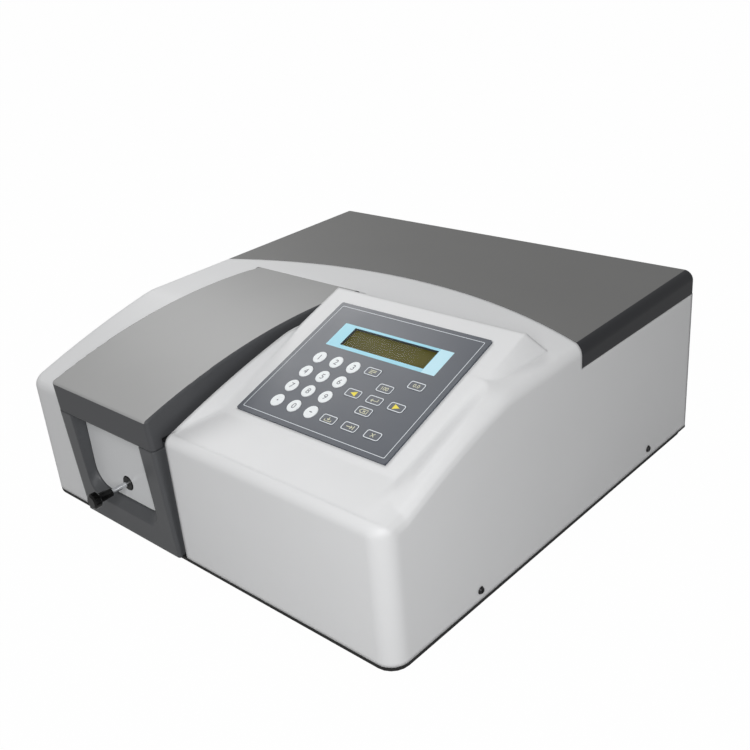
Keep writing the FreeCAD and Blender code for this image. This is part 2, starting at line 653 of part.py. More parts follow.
def well_ring(name, grow, thickness, z):
    """A rectangular ring around the chamber's mouth."""
    rings = []
    for part, reach, low, high in (("outer", f"({grow})", *z),
                                   ("inner", f"({grow} - {thickness})", f"{z[0]} - 1", f"{z[1]} + 1")):
        rings.append(box(f"{name}_{part}", (f"chamber_left - {reach}", f"chamber_right + {reach}"),
                         (f"chamber_front - {reach}", f"chamber_rear + {reach}"), (low, high)))
    return cut(name, *rings)


SEAL_LOW = "(deck_top + seal_gap)"
SEAL_TOP = "(deck_top + seal_gap + seal_thickness)"


def sample_lid():
    """An arched shell lid with a light trap ring inside and a hinge barrel at its rear."""
    form = lid_form("lid_form", "0", "lid_skirt_height")
    front = value("lid_front")

    def front_corner(edge):
        reach = edge.BoundBox
        return edge.CenterOfMass.y < front + 4 and reach.XLength < 0.01 and reach.ZLength > 15

    def top_edge(edge):
        middle, reach = edge.CenterOfMass, edge.BoundBox
        return (reach.ZLength > 20 and reach.YLength > 100) or (
            middle.y < front + 0.5 and reach.ZLength < 0.5) or (
            middle.y < front + 12 and reach.XLength > 2 and reach.YLength > 2 and middle.z > 130)

    softened = rounded("lid_corners", form, (front_corner, "lid_corner", "lid_corner"))
    softened = rounded("lid_softened", softened, (top_edge, "lid_round", "lid_round"))
    barrel = cylinder("lid_barrel", "x", ("pivot_y", "pivot_height"), ("lid_left", "lid_right"),
                      "barrel_radius")
    inside = box("lid_inside_block", ("lid_left + lid_wall", "lid_right - lid_wall"),
                 ("lid_front + lid_wall + lid_lean", "chamber_rear + seal_margin + seal_width + deck_gap"),
                 ("lid_edge_height - 20", "rear_height + 20"))
    trap = well_ring("light_trap", "seal_margin + seal_width / 2 + 1", "lid_wall",
                     (SEAL_TOP, "rear_height + 10"))
    under = lid_form("lid_under", "lid_wall", "lid_skirt_height - 5")
    hollow = cut("lid_hollow", overlap("lid_inside", under, inside), trap)
    rear_end = box("lid_rear_end", ("lid_left - 1", "lid_right + 1"),
                   ("pivot_y - barrel_radius / 2", "pivot_y + 20"),
                   ("lid_skirt_height", "pivot_height + pin_radius + 1"))
    bore = cylinder("lid_bore", "x", ("pivot_y", "pivot_height"), ("lid_left - 1", "lid_right + 1"),
                    "pin_radius + running_gap")
    knuckle = cut("lid_knuckle", fuse("lid_barrel_with_web", barrel, box(
        "lid_web", ("lid_left", "lid_right"), ("pivot_y - barrel_radius - 3", "pivot_y - pin_radius - 1"),
        ("pivot_height - 1", "pivot_height + 3"))), bore)
    finish(fuse("lid", cut("lid_skin", softened, hollow, rear_end), knuckle), "sample_lid")
    seal = well_ring("seal", "seal_margin + seal_width", "seal_width", (SEAL_LOW, SEAL_TOP))
    finish(seal, "lid_seal")
    pin = cylinder("hinge_pin", "x", ("pivot_y", "pivot_height"),
                   ("slot_left - slot_wall - 0.5", "slot_right + slot_wall + 0.5"), "pin_radius")
    finish(pin, "lid_hinge_pin")


def frame_wire(y, left, right, ledge, corner, top):
    """A U outline with rounded lower corners, in a plane across Y."""
    def place(x, z):
        return Vector(x, y, z)

    diagonal = corner * (1 - math.sqrt(0.5))
    edges = [
        Part.makeLine(place(left, top), place(left, ledge + corner)),
        Part.Arc(place(left, ledge + corner), place(left + diagonal, ledge + diagonal),
                 place(left + corner, ledge)).toShape(),
        Part.makeLine(place(left + corner, ledge), place(right - corner, ledge)),
        Part.Arc(place(right - corner, ledge), place(right - diagonal, ledge + diagonal),
                 place(right, ledge + corner)).toShape(),
        Part.makeLine(place(right, ledge + corner), place(right, top)),
        Part.makeLine(place(right, top), place(left, top))]
    return Part.Wire(edges)


def front_frame():
    """A leaning U frame whose window narrows towards the plate behind it."""
    top = "(lid_skirt_height - lid_gap)"
    lean_top = "(lid_front + lid_lean)"
    points = [("frame_foot_y", "frame_bottom"), (lean_top, top), ("frame_rear", top),
              ("frame_rear", "frame_bottom")]
    block = padded("frame_block", "YZ_Plane", points, "lid_right - lid_left", None,
                   "(lid_left + lid_right) / 2")
    front_y = value("frame_foot_y")
    softened = rounded("frame_softened", block, (
        lambda edge: edge.CenterOfMass.y < front_y + 3 and edge.BoundBox.ZLength > 50,
        "lid_corner - 1", "lid_corner - 1"))
    flange = box("frame_flange", ("slot_left + deck_gap", "slot_right - deck_gap"),
                 ("frame_rear", "frame_rear + 2.5"), ("plate_thickness", "deck_top - deck_thickness"))
    left, right = value("frame_opening_left"), value("frame_opening_right")
    front, rear = value("lid_front") - 4, value("frame_rear")
    rise = value("frame_ledge_rear") - value("frame_ledge_front")
    run = rear - value("frame_foot_y")
    past = 4
    outward = (rear - front) / run
    opening = Part.makeLoft([
        frame_wire(front, left, right, value("frame_ledge_rear") - rise * outward,
                   value("frame_round_front"), 200),
        frame_wire(rear, left + 1, right - 1, value("frame_ledge_rear"), value("frame_round_rear"), 200),
        frame_wire(rear + past, left + 1, right - 1, value("frame_ledge_rear"),
                   value("frame_round_rear"), 200)], True, True)
    pocket = box("plate_pocket", ("frame_opening_left - rod_panel_overlap", "frame_opening_right + rod_panel_overlap"),
                 ("frame_rear", "frame_rear + 4"), ("frame_ledge_rear - rod_panel_overlap", "200"))
    frame = cut("frame", fuse("frame_solid", softened, flange), shaped("frame_opening", opening), pocket)
    finish(frame, "front_frame")


def rod_panel():
    """The pale plate in the frame, with a hole for the rod's grommet."""
    plate = box("rod_plate", ("frame_opening_left - rod_panel_overlap + 0.2",
                              "frame_opening_right + rod_panel_overlap - 0.2"),
                ("frame_rear", "frame_rear + rod_panel_thickness"),
                ("frame_ledge_rear - rod_panel_overlap + 0.2", "deck_top - deck_thickness"))
    hole = cylinder("grommet_hole", "y", ("rod_x", "rod_height"), ("frame_rear - 1", "frame_rear + 10"),
                    "grommet_radius")
    finish(cut("rod_panel_plate", plate, hole), "rod_panel")
    lip = "grommet_lip"
    grommet = turned("grommet", "y", ("rod_x", "rod_height"), f"frame_rear - {lip}", [
        ("rod_radius + running_gap", "0"), ("grommet_flange - 0.8", "0"), ("grommet_flange", lip),
        ("grommet_radius", lip), ("grommet_radius", f"{lip} + rod_panel_thickness + 2"),
        ("rod_radius + running_gap", f"{lip} + rod_panel_thickness + 2")])
    finish(grommet, "rod_grommet")


def sample_chamber():
    """A deck with a deep well, beam ports in its sides and a rod hole in its front."""
    deck = box("deck", ("slot_left + deck_gap", "slot_right - deck_gap"),
               ("frame_rear", f"{SLOT_REAR} - deck_gap"), ("deck_top - deck_thickness", "deck_top"))
    tub = box("tub", ("chamber_left", "chamber_right"), ("chamber_front", "chamber_rear"),
              ("plate_thickness", "deck_top"))
    inside = (("chamber_left + chamber_wall", "chamber_right - chamber_wall"),
              ("chamber_front + chamber_wall", "chamber_rear - chamber_wall"))
    well = box("well", *inside, ("chamber_floor", "deck_top + 1"))
    under = box("tub_underside", *inside, ("0", "chamber_floor - chamber_wall"))
    port = cylinder("beam_port", "x", ("beam_y", "beam_height"), ("chamber_left - 1", "chamber_right + 1"),
                    "beam_radius")
    rod_hole = cylinder("chamber_rod_hole", "y", ("rod_x", "rod_height"),
                        ("chamber_front - 1", "chamber_front + 10"), "rod_radius + 1")
    finish(cut("chamber", fuse("chamber_solid", deck, tub), well, under, port, rod_hole), "sample_chamber")


def carriage_rails():
    """Two round rails that the cell carriage slides on."""
    rails = [cylinder(f"rail_{number}", "y", (f"rod_x {sign} rail_offset", "rail_height"),
                      ("chamber_front + chamber_wall", "chamber_rear - chamber_wall"), "rail_radius")
             for number, sign in enumerate(("-", "+"))]
    finish(bunch("rails", *rails), "carriage_rails")


def cell_carriage():
    """A sliding base on two bores, carrying a row of open cell pockets."""
    base = box("carriage_base", ("rod_x - carriage_half_width", "rod_x + carriage_half_width"),
               (f"{CARRIAGE_Y} - carriage_half_length", f"{CARRIAGE_Y} + carriage_half_length"),
               ("carriage_low", "carriage_top"))
    half = "(cell_size / 2 + cell_wall)"
    row = "(1.5 * cell_pitch + cell_size / 2 + cell_wall)"
    tower = box("cell_row", (f"rod_x - {half}", f"rod_x + {half}"),
                (f"{CARRIAGE_Y} - {row}", f"{CARRIAGE_Y} + {row}"), ("carriage_top", "cell_top"))
    tools = []
    for number in range(4):
        middle = f"({CARRIAGE_Y} + ({number} - 1.5) * cell_pitch)"
        tools.append(box(f"cell_pocket_{number}", ("rod_x - cell_size / 2", "rod_x + cell_size / 2"),
                         (f"{middle} - cell_size / 2", f"{middle} + cell_size / 2"),
                         ("cell_floor", "cell_top + 1")))
        tools.append(box(f"cell_window_{number}", (f"rod_x - {half} - 1", f"rod_x + {half} + 1"),
                         (f"{middle} - cell_window_width / 2", f"{middle} + cell_window_width / 2"),
                         ("beam_height - 10", "beam_height + 10")))
    for number, sign in enumerate(("-", "+")):
        tools.append(cylinder(f"rail_bore_{number}", "y", (f"rod_x {sign} rail_offset", "rail_height"),
                              (f"{CARRIAGE_Y} - 60", f"{CARRIAGE_Y} + 60"), "rail_radius + sliding_gap"))
    tools.append(cylinder("rod_seat", "y", ("rod_x", "rod_height"),
                          (f"{CARRIAGE_Y} - {row} - 1", f"{CARRIAGE_Y} - {row} + 2"), "rod_radius"))
    finish(cut("carriage", fuse("carriage_solid", base, tower), *tools), "cell_carriage")
    shaft = cylinder("rod_shaft", "y", ("rod_x", "rod_height"),
                     ("rod_end - 8", f"{CARRIAGE_Y} - {row} + 2"), "rod_radius")
    finish(shaft, "pull_rod")
    knob = turned("knob", "y", ("rod_x", "rod_height"), KNOB_END, [
        ("0", "0"), ("knob_radius - 2", "0"), ("knob_radius", "1.6"), ("knob_radius", "knob_disc - 1.2"),
        ("knob_radius - 1.2", "knob_disc"), ("knob_neck_radius", "knob_disc"),
        ("knob_sleeve_radius", "knob_length"), ("rod_radius", "knob_length"),
        ("rod_radius", "knob_length - 8"), ("0", "knob_length - 8")])
    finish(knob, "rod_knob")


def detector_housing():
    """A box beside the chamber with a port for the beam and a photodiode behind it."""
    x = ("chamber_left - detector_length", "chamber_left")
    y = ("beam_y - detector_width / 2", "beam_y + detector_width / 2")
    z = ("plate_thickness", "detector_low + detector_height")
    shell = cut("detector_shell", box("detector_block", x, y, z),
                box("detector_room", (f"{x[0]} + chamber_wall", f"{x[1]} - chamber_wall"),
                    (f"{y[0]} + chamber_wall", f"{y[1]} - chamber_wall"),
                    ("detector_low", f"{z[1]} - chamber_wall")),
                cylinder("detector_port", "x", ("beam_y", "beam_height"),
                         ("chamber_left - chamber_wall - 1", "chamber_left + 1"), "beam_radius"))
    diode = cylinder("photodiode", "x", ("beam_y", "beam_height"),
                     (f"{x[0]} + chamber_wall", f"{x[0]} + chamber_wall + 6"), "beam_radius + 1")
    finish(fuse("detector", shell, diode), "detector_housing")


# Monochromator
CASE_FLOOR = "case_mount"
CASE_INSIDE_LOW = "(case_mount + case_wall)"
CASE_TOP = "(case_mount + case_height)"
ENTRANCE = "lamp_x"


def monochromator_case():
    """A cast box on four feet, with slit openings and a screwed flat cover."""
    outer = box("case_block", ("case_left", "case_right"), ("case_front", "case_rear"), (CASE_FLOOR, CASE_TOP))
    inner = box("case_room", ("case_left + case_wall", "case_right - case_wall"),
                ("case_front + case_wall", "case_rear - case_wall"), (CASE_INSIDE_LOW, f"{CASE_TOP} + 1"))
    exit_slit = box("exit_slit", ("case_left - 1", "case_left + case_wall + 1"),
                    ("beam_y - 1", "beam_y + 1"), ("beam_height - 6", "beam_height + 6"))
    entry_slit = box("entry_slit", (f"{ENTRANCE} - 1", f"{ENTRANCE} + 1"),
                     ("case_rear - case_wall - 1", "case_rear + 1"), ("beam_height - 6", "beam_height + 6"))
    shaft_bore = cylinder("table_bore", "z", ("grating_x", "grating_y"), (f"{CASE_FLOOR} - 1", f"{CASE_INSIDE_LOW} + 1"),
                          "shaft_radius + running_gap")
    screw_bore = cylinder("screw_bore", "y", (NUT_X, SCREW_Z),
                          ("case_rear - case_wall - 1", "case_rear + 1"), "motor_shaft_radius + running_gap")
    feet = [box(f"case_foot_{number}", (x, f"{x} + 16"), (y, f"{y} + 16"), ("plate_thickness", CASE_FLOOR))
            for number, (x, y) in enumerate((("case_left + 4", "case_front + 4"), ("case_right - 20", "case_front + 4"),
                                             ("case_left + 4", "case_rear - 20"), ("case_right - 20", "case_rear - 20")))]
    tub = cut("case_tub", fuse("case_solid", outer, *feet), inner, exit_slit, entry_slit, shaft_bore, screw_bore)
    cover = box("case_lid", ("case_left", "case_right"), ("case_front", "case_rear"),
                (CASE_TOP, f"{CASE_TOP} + case_cover"))
    finish(bunch("case", tub, cover), "monochromator_case")


def concave_mirrors():
    """Collimating and focusing mirrors on the case floor, each a block with a hollowed face."""
    mirrors = []
    for number, x in enumerate((f"{ENTRANCE}", "case_left + 110")):
        block = box(f"mirror_block_{number}", (f"{x} - mirror_width / 2", f"{x} + mirror_width / 2"),
                    ("case_front + case_wall + 2", "case_front + case_wall + 2 + mirror_thickness"),
                    (CASE_INSIDE_LOW, "beam_height + mirror_height / 2"))
        face = cylinder(f"mirror_face_{number}", "z",
                        (x, "case_front + case_wall + mirror_thickness + 150"),
                        (CASE_INSIDE_LOW, "beam_height + mirror_height"), "150")
        mirrors.append(cut(f"mirror_{number}", block, face))
    finish(bunch("mirrors", *mirrors), "concave_mirrors")


def grating_drive():
    """A turntable with a sine arm, pushed by a nut on a lead screw."""
    table_low = "(table_height + arm_thickness / 2)"
    table = cylinder("table_disc", "z", ("grating_x", "grating_y"),
                     (f"table_height - arm_thickness", f"{table_low} + table_thickness"), "table_radius")
    shaft = cylinder("table_shaft", "z", ("grating_x", "grating_y"), (CASE_FLOOR, "table_height"), "shaft_radius")
    arm = box("sine_arm", ("grating_x", NUT_X), ("grating_y - arm_tip_radius", "grating_y + arm_tip_radius"),
              ("table_height - arm_thickness", "table_height"))
    tip = cylinder("sine_arm_tip", "z", (NUT_X, "grating_y"), ("table_height - arm_thickness", "table_height"),
                   "arm_tip_radius")
    finish(fuse("table", table, shaft, arm, tip), "grating_table")
    block = box("grating_block", ("grating_x - grating_width / 2", "grating_x + grating_width / 2"),
                ("grating_y - grating_thickness / 2", "grating_y + grating_thickness / 2"),
                (f"{table_low} + table_thickness", f"{table_low} + table_thickness + grating_height"))
    finish(block, "grating")
    thread = cylinder("screw_thread", "y", (NUT_X, SCREW_Z), ("case_front + 90", "case_rear - case_wall - 6"),
                      "screw_thread_radius")
    journal = cylinder("screw_journal", "y", (NUT_X, SCREW_Z), ("case_rear - case_wall - 6", "case_rear + 4"),
                       "motor_shaft_radius")
    finish(fuse("screw", thread, journal), "lead_screw")
    back = f"({NUT_FACE} - nut_nose)"
    nut = box("nut_block", (f"{NUT_X} - nut_size / 2", f"{NUT_X} + nut_size / 2"),
              (f"{back} - nut_length", back), (f"{SCREW_Z} - nut_size / 2", "table_height"))
    nose = box("nut_nose_block", (f"{NUT_X} - 1.2", f"{NUT_X} + 1.2"), (back, NUT_FACE),
               ("table_height - arm_thickness + 0.5", "table_height - 0.5"))
    bore = cylinder("nut_bore", "y", (NUT_X, SCREW_Z), (f"{NUT_FACE} - 30", f"{NUT_FACE} + 30"),
                    "screw_thread_radius + running_gap")
    finish(cut("nut", fuse("nut_solid", nut, nose), bore), "drive_nut")


def stepper_motors():
    """Two like motors: one turns the lead screw and one the filter wheel."""
    motors = []
    places = ((NUT_X, "case_rear + 4", SCREW_Z),
              (f"{ENTRANCE} + filter_circle", "case_rear + wheel_gap + wheel_thickness + 4", "beam_height"))
    half = "motor_size / 2"
    for number, (x, y, z) in enumerate(places):
        block = box(f"motor_block_{number}", (f"{x} - {half}", f"{x} + {half}"), (y, f"{y} + motor_length"),
                    (f"{z} - {half}", f"{z} + {half}"))
        motors.append(rounded(f"motor_body_{number}", block,
                              (lambda edge: edge.BoundBox.YLength > 10, "4", "4")))
    finish(bunch("motors", *motors), "stepper_motors")


def filter_wheel():
    """A disc of filter windows on its own shaft, just behind the entrance slit."""
    x, y = f"({ENTRANCE} + filter_circle)", "(case_rear + wheel_gap)"
    disc = cylinder("wheel_disc", "y", (x, "beam_height"), (y, f"{y} + wheel_thickness"), "wheel_radius")
    hub = cylinder("wheel_hub", "y", (x, "beam_height"), (f"{y} - 2", f"{y} + wheel_thickness + 3.7"), "4")
    holes = []
    for number in range(int(value("filter_count"))):
        turn = f"({number} * 360 / filter_count)"
        holes.append(cylinder(f"filter_hole_{number}", "y",
                              (f"{x} + filter_circle * cos({turn})", f"beam_height + filter_circle * sin({turn})"),
                              (f"{y} - 5", f"{y} + 5"), "filter_radius"))
    finish(cut("wheel", fuse("wheel_solid", disc, hub), *holes), "filter_wheel")


def lamp():
    """A halogen bulb in a ceramic base, inside a folded sheet house open to the slit."""
    seat = "(beam_height - bulb_height / 2)"
    bulb = turned("bulb", "z", ("lamp_x", "lamp_y"), seat, [
        ("0", "-10"), ("bulb_radius + 1", "-10"), ("bulb_radius + 1", "0"), ("bulb_radius", "0"), ("bulb_radius", "bulb_height - 4"),
        ("bulb_radius - 3", "bulb_height"), ("0", "bulb_height")])
    finish(bulb, "lamp")
    half = "lamp_house_size / 2"
    x, y = (f"lamp_x - {half}", f"lamp_x + {half}"), (f"lamp_y - {half}", f"lamp_y + {half}")
    house = cut("house_shell", box("house_block", x, y, ("plate_thickness", "beam_height + 34")),
                box("house_room", (f"{x[0]} + sheet", f"{x[1]} - sheet"), (f"{y[0]} + sheet", f"{y[1]} - sheet"),
                    ("plate_thickness + sheet", "beam_height + 40")),
                cylinder("house_port", "y", ("lamp_x", "beam_height"), (f"{y[0]} - 1", f"{y[0]} + 5"), "9"))
    base = box("lamp_base", ("lamp_x - 12", "lamp_x + 12"), ("lamp_y - 10", "lamp_y + 10"),
               ("plate_thickness + sheet", f"{seat} - 10"))
    finish(fuse("house", house, base), "lamp_house")


# Fan and back panel
FAN_REAR = REAR


def fan():
    """A square axial fan behind the grille: frame with struts and hub, and a bladed rotor."""
    x, z = "fan_x", "fan_height"
    half = "fan_size / 2"
    front = f"({FAN_REAR} - fan_depth)"
    frame = box("fan_block", (f"{x} - {half}", f"{x} + {half}"), (front, FAN_REAR), (f"{z} - {half}", f"{z} + {half}"))
    duct = cylinder("fan_duct", "y", (x, z), (f"{front} - 1", f"{FAN_REAR} + 1"), "fan_duct_radius")
    struts = [box("strut_across", (f"{x} - {half} + 1", f"{x} + {half} - 1"), (f"{FAN_REAR} - 3", FAN_REAR), (f"{z} - 1.5", f"{z} + 1.5")),
              box("strut_up", (f"{x} - 1.5", f"{x} + 1.5"), (f"{FAN_REAR} - 3", FAN_REAR), (f"{z} - {half} + 1", f"{z} + {half} - 1"))]
    seat = cylinder("fan_seat", "y", (x, z), (f"{FAN_REAR} - 3", FAN_REAR), "fan_hub_radius")
    stub = cylinder("fan_stub", "y", (x, z), (f"{front} + 3", f"{FAN_REAR} - 2"), "1.5")
    finish(fuse("fan_body", cut("fan_square", frame, duct), seat, stub, *struts), "fan_frame")
    low, high = f"({front} + 1)", f"({FAN_REAR} - 3.4)"
    hub = cylinder("rotor_hub", "y", (x, z), (low, high), "fan_hub_radius")
    reach = "fan_duct_radius - fan_tip_gap"
    limits = cylinder("rotor_limits", "y", (x, z), (low, high), reach)
    blades = []
    depth = f"({high} - {low})"
    for number in range(int(value("blade_count"))):
        blade = box(f"blade_{number}", ("0", "blade_thickness"), ("-20", "20"), ("5", "40"))
        turn = 360 * number / value("blade_count")
        pitch = FreeCAD.Rotation(Vector(0, 0, 1), value("blade_pitch"))
        spin = FreeCAD.Rotation(Vector(0, 1, 0), turn)
        holder = bunch(f"blade_turned_{number}", blade)
        holder.Placement = FreeCAD.Placement(Vector(), spin.multiply(pitch))
        tie(holder, "Placement.Base.x", x)
        tie(holder, "Placement.Base.y", f"{low} + {depth} / 2")
        tie(holder, "Placement.Base.z", z)
        blades.append(holder)
    trimmed = overlap("rotor_blades", fuse("rotor_fan", *blades), limits)
    bore = cylinder("rotor_bore", "y", (x, z), (f"{low} - 1", f"{high} + 1"), "1.5 + running_gap")
    finish(cut("rotor", fuse("rotor_solid", hub, trimmed), bore), "fan_rotor")


def back_panel():
    """A flat steel panel with a slotted fan grille and a cut-out for the power inlet."""
    sheet = box("panel_sheet_block", (f"-{SIDE} + 0.3", f"{SIDE} - 0.3"), (REAR, OUTER_REAR),
                ("plate_thickness", "cover_edge_height"))
    tools = []
    count = int(value("grille_slots"))
    for number in range(count):
        rise = f"(({number} - {(count - 1) / 2}) * grille_pitch)"
        half = f"sqrt(fan_duct_radius * fan_duct_radius - {rise} * {rise})"
        z = f"(fan_height + {rise})"
        tools.append(box(f"grille_{number}", (f"fan_x - {half}", f"fan_x + {half}"), (f"{REAR} - 1", f"{OUTER_REAR} + 1"),
                         (f"{z} - grille_slot / 2", f"{z} + grille_slot / 2")))
    tools.append(box("inlet_cutout", ("inlet_x - inlet_width / 2 + 3", "inlet_x + inlet_width / 2 - 3"),
                     (f"{REAR} - 1", f"{OUTER_REAR} + 1"),
                     ("inlet_height - inlet_tall / 2 + 2", "inlet_height + inlet_tall / 2 - 2")))
    finish(cut("panel", sheet, *tools), "back_panel")


SOCKET_X = "(inlet_x - inlet_width / 2 + 7 + socket_width / 2)"
ROCKER_X = "(inlet_x + inlet_width / 2 - 7 - rocker_width / 2)"
INLET_FACE = f"({OUTER_REAR} + inlet_flange)"
ROCKER_Y = f"({INLET_FACE} - rocker_inset)"


def power_inlet():
    """A mains inlet module with its socket and the cradle of the rocker switch."""
    flange = box("inlet_flange_plate", ("inlet_x - inlet_width / 2", "inlet_x + inlet_width / 2"),
                 (OUTER_REAR, INLET_FACE), ("inlet_height - inlet_tall / 2", "inlet_height + inlet_tall / 2"))
    shell = box("inlet_shell", ("inlet_x - inlet_width / 2 + 3.2", "inlet_x + inlet_width / 2 - 3.2"),
                (f"{INLET_FACE} - inlet_depth", OUTER_REAR),
                ("inlet_height - inlet_tall / 2 + 2.2", "inlet_height + inlet_tall / 2 - 2.2"))
    socket = rounded("socket_room", box("socket_block", (f"{SOCKET_X} - socket_width / 2", f"{SOCKET_X} + socket_width / 2"),
                                        (f"{INLET_FACE} - socket_depth", f"{INLET_FACE} + 1"),
                                        ("inlet_height - socket_tall / 2", "inlet_height + socket_tall / 2")),
                     (lambda edge: edge.BoundBox.YLength > 5 and edge.CenterOfMass.z > value("inlet_height"), "4", "4"),
                     (lambda edge: edge.BoundBox.YLength > 5 and edge.CenterOfMass.z < value("inlet_height"), "1", "1"))
    well = box("rocker_well", (f"{ROCKER_X} - rocker_width / 2 - rocker_gap", f"{ROCKER_X} + rocker_width / 2 + rocker_gap"),
               (f"{ROCKER_Y} - 12", f"{INLET_FACE} + 1"),
               ("inlet_height - rocker_tall / 2 - rocker_gap", "inlet_height + rocker_tall / 2 + rocker_gap"))
    pins = [box(f"inlet_pin_{number}", (f"{SOCKET_X} + {x} - 1", f"{SOCKET_X} + {x} + 1"),
                (f"{INLET_FACE} - socket_depth - 1", f"{INLET_FACE} - pin_inset"),
                (f"inlet_height + {z} - 2", f"inlet_height + {z} + 2"))
            for number, (x, z) in enumerate((("-7", "-2"), ("0", "2"), ("7", "-2")))]
    axle = cylinder("rocker_axle", "x", (ROCKER_Y, "inlet_height"),
                    (f"{ROCKER_X} - rocker_width / 2 - 1", f"{ROCKER_X} + rocker_width / 2 + 1"), "1.2")
    solid = fuse("inlet_solid", flange, shell)
    finish(fuse("inlet", cut("inlet_body", solid, socket, well), axle, *pins), "power_inlet")
    points = [("2", f"-{ROCKER_HALF}"), (ROCKER_FACE, f"-{ROCKER_HALF}"), (ROCKER_FACE, ROCKER_HALF),
              ("2", ROCKER_HALF), ("-4", "4"), ("-4", "-4")]
    body = padded("rocker_body", "YZ_Plane", points, "rocker_width", {1: "2 * rocker_tall"}, ROCKER_X)
    body.Placement.Rotation = FreeCAD.Rotation(Vector(1, 0, 0), value("rocker_tilt"))
    tie(body, "Placement.Rotation.Angle", "rocker_tilt")
    tie(body, "Placement.Base.y", ROCKER_Y)
    tie(body, "Placement.Base.z", "inlet_height")
    bore = cylinder("rocker_bore", "x", (ROCKER_Y, "inlet_height"),
                    (f"{ROCKER_X} - rocker_width", f"{ROCKER_X} + rocker_width"), "1.2 + running_gap")
    finish(cut("rocker", body, bore), "switch_rocker")


# Electronics
def board_on_posts(name, x, y, width, length, parts):
    """A circuit board on four standoffs, with its components."""
    low = "(plate_thickness + standoff_height)"
    pieces = [box(name + "_sheet", (f"{x} - {width} / 2", f"{x} + {width} / 2"),
                  (f"{y} - {length} / 2", f"{y} + {length} / 2"), (low, f"{low} + board_thickness"))]
    for number, (across, along) in enumerate(corner_signs()):
        pieces.append(cylinder(f"{name}_post_{number}", "z",
                               (f"{x} + {across}({width} / 2 - 6)", f"{y} + {along}({length} / 2 - 6)"),
                               ("plate_thickness", low), "standoff_radius"))
    for number, (across, along, wide, deep, tall) in enumerate(parts):
        pieces.append(box(f"{name}_part_{number}", (f"{x} + {across} - {wide} / 2", f"{x} + {across} + {wide} / 2"),
                          (f"{y} + {along} - {deep} / 2", f"{y} + {along} + {deep} / 2"),
                          (f"{low} + board_thickness", f"{low} + board_thickness + {tall}")))
    return fuse(name + "_made", *pieces)


def electronics():
    """The main board and a laminated transformer."""
    parts = (("-40", "20", "16", "40", "4"), ("0", "20", "20", "20", "3"), ("40", "-10", "12", "30", "14"),
             ("-40", "-30", "30", "8", "9"), ("20", "-35", "40", "8", "9"), ("45", "35", "14", "14", "20"))
    finish(board_on_posts("main", "main_board_x", "main_board_y", "main_board_width", "main_board_length", parts),
           "main_board")
    core = box("core", ("supply_x - 30", "supply_x + 30"), ("supply_y - 17", "supply_y + 17"),
               ("plate_thickness + 2", "plate_thickness + 52"))
    coil = rounded("coil", box("coil_block", ("supply_x - 19", "supply_x + 19"), ("supply_y - 28", "supply_y + 28"),
                               ("plate_thickness + 10", "plate_thickness + 44")),
                   (lambda edge: edge.BoundBox.XLength > 10, "6", "6"))
    feet = box("transformer_feet", ("supply_x - 42", "supply_x + 42"), ("supply_y - 12", "supply_y + 12"),
               ("plate_thickness", "plate_thickness + 2"))
    finish(fuse("transformer", core, coil, feet), "power_transformer")


# Keypad and display, in the console's tilted frame
def at_panel(across, along):
    """A place on the panel, from its lower left corner."""
    return f"(panel_left + {across})", f"(panel_low + {along})"


def key_block(name, kind, centre, grow, span):
    """A key's solid, or with some growth its hole: an oval, or a rounded rectangle."""
    x, y = at_panel(*centre)
    if kind == "number":
        ellipse = doc.addObject("Part::Ellipse", name + "_oval")
        tie(ellipse, "MajorRadius", f"number_key_length / 2 + {grow}")
        tie(ellipse, "MinorRadius", f"number_key_width / 2 + {grow}")
        ellipse.Placement = FreeCAD.Placement(Vector(), FreeCAD.Rotation(Vector(0, 0, 1), 90))
        tie(ellipse, "Placement.Base.x", x)
        tie(ellipse, "Placement.Base.y", y)
        tie(ellipse, "Placement.Base.z", span[0])
        made = doc.addObject("Part::Extrusion", name)
        made.Base = ellipse
        made.DirMode = "Custom"
        made.Dir = Vector(0, 0, 1)
        made.Solid = True
        tie(made, "LengthFwd", f"{span[1]} - {span[0]}")
        return made
    half_width, half_length = f"(function_key_width / 2 + {grow})", f"(function_key_length / 2 + {grow})"
    block = box(name + "_block", (f"{x} - {half_width}", f"{x} + {half_width}"),
                (f"{y} - {half_length}", f"{y} + {half_length}"), span)
    return rounded(name, block, (upright, f"function_key_round + {grow}", f"function_key_round + {grow}"))


def key_places():
    """Names, kinds and centres of the keys."""
    places = []
    for number, name in enumerate(("decimal", "0", "minus", "7", "8", "9", "4", "5", "6", "1", "2", "3")):
        column, row = number % 3, number // 3
        places.append((f"key_{name}", "number", (f"number_column + {column} * number_column_pitch",
                                                 f"number_row + {row} * number_row_pitch")))
    for name, across, along in FUNCTION_KEYS:
        places.append((f"key_{name}", "function", (str(across), str(along))))
    return places


FUNCTION_KEYS = (
    ("mode", 94.8, 81.3), ("zero", 143.8, 80.7), ("full_scale", 119.1, 68.2), ("wavelength_down", 95.3, 53.7),
    ("enter", 119.2, 53.7), ("wavelength_up", 143.1, 53.9), ("delete", 118.6, 39.8), ("print", 94.9, 20.9),
    ("go_to", 119, 20.9), ("clear", 143.9, 20.9))


def window_block(name, grow, z):
    """A block over the display's window, larger all round by some growth."""
    x, y = at_panel("window_left", "window_low")
    return box(name, (f"{x} - ({grow})", f"{x} + window_width + ({grow})"),
               (f"{y} - ({grow})", f"{y} + window_height + ({grow})"), z)


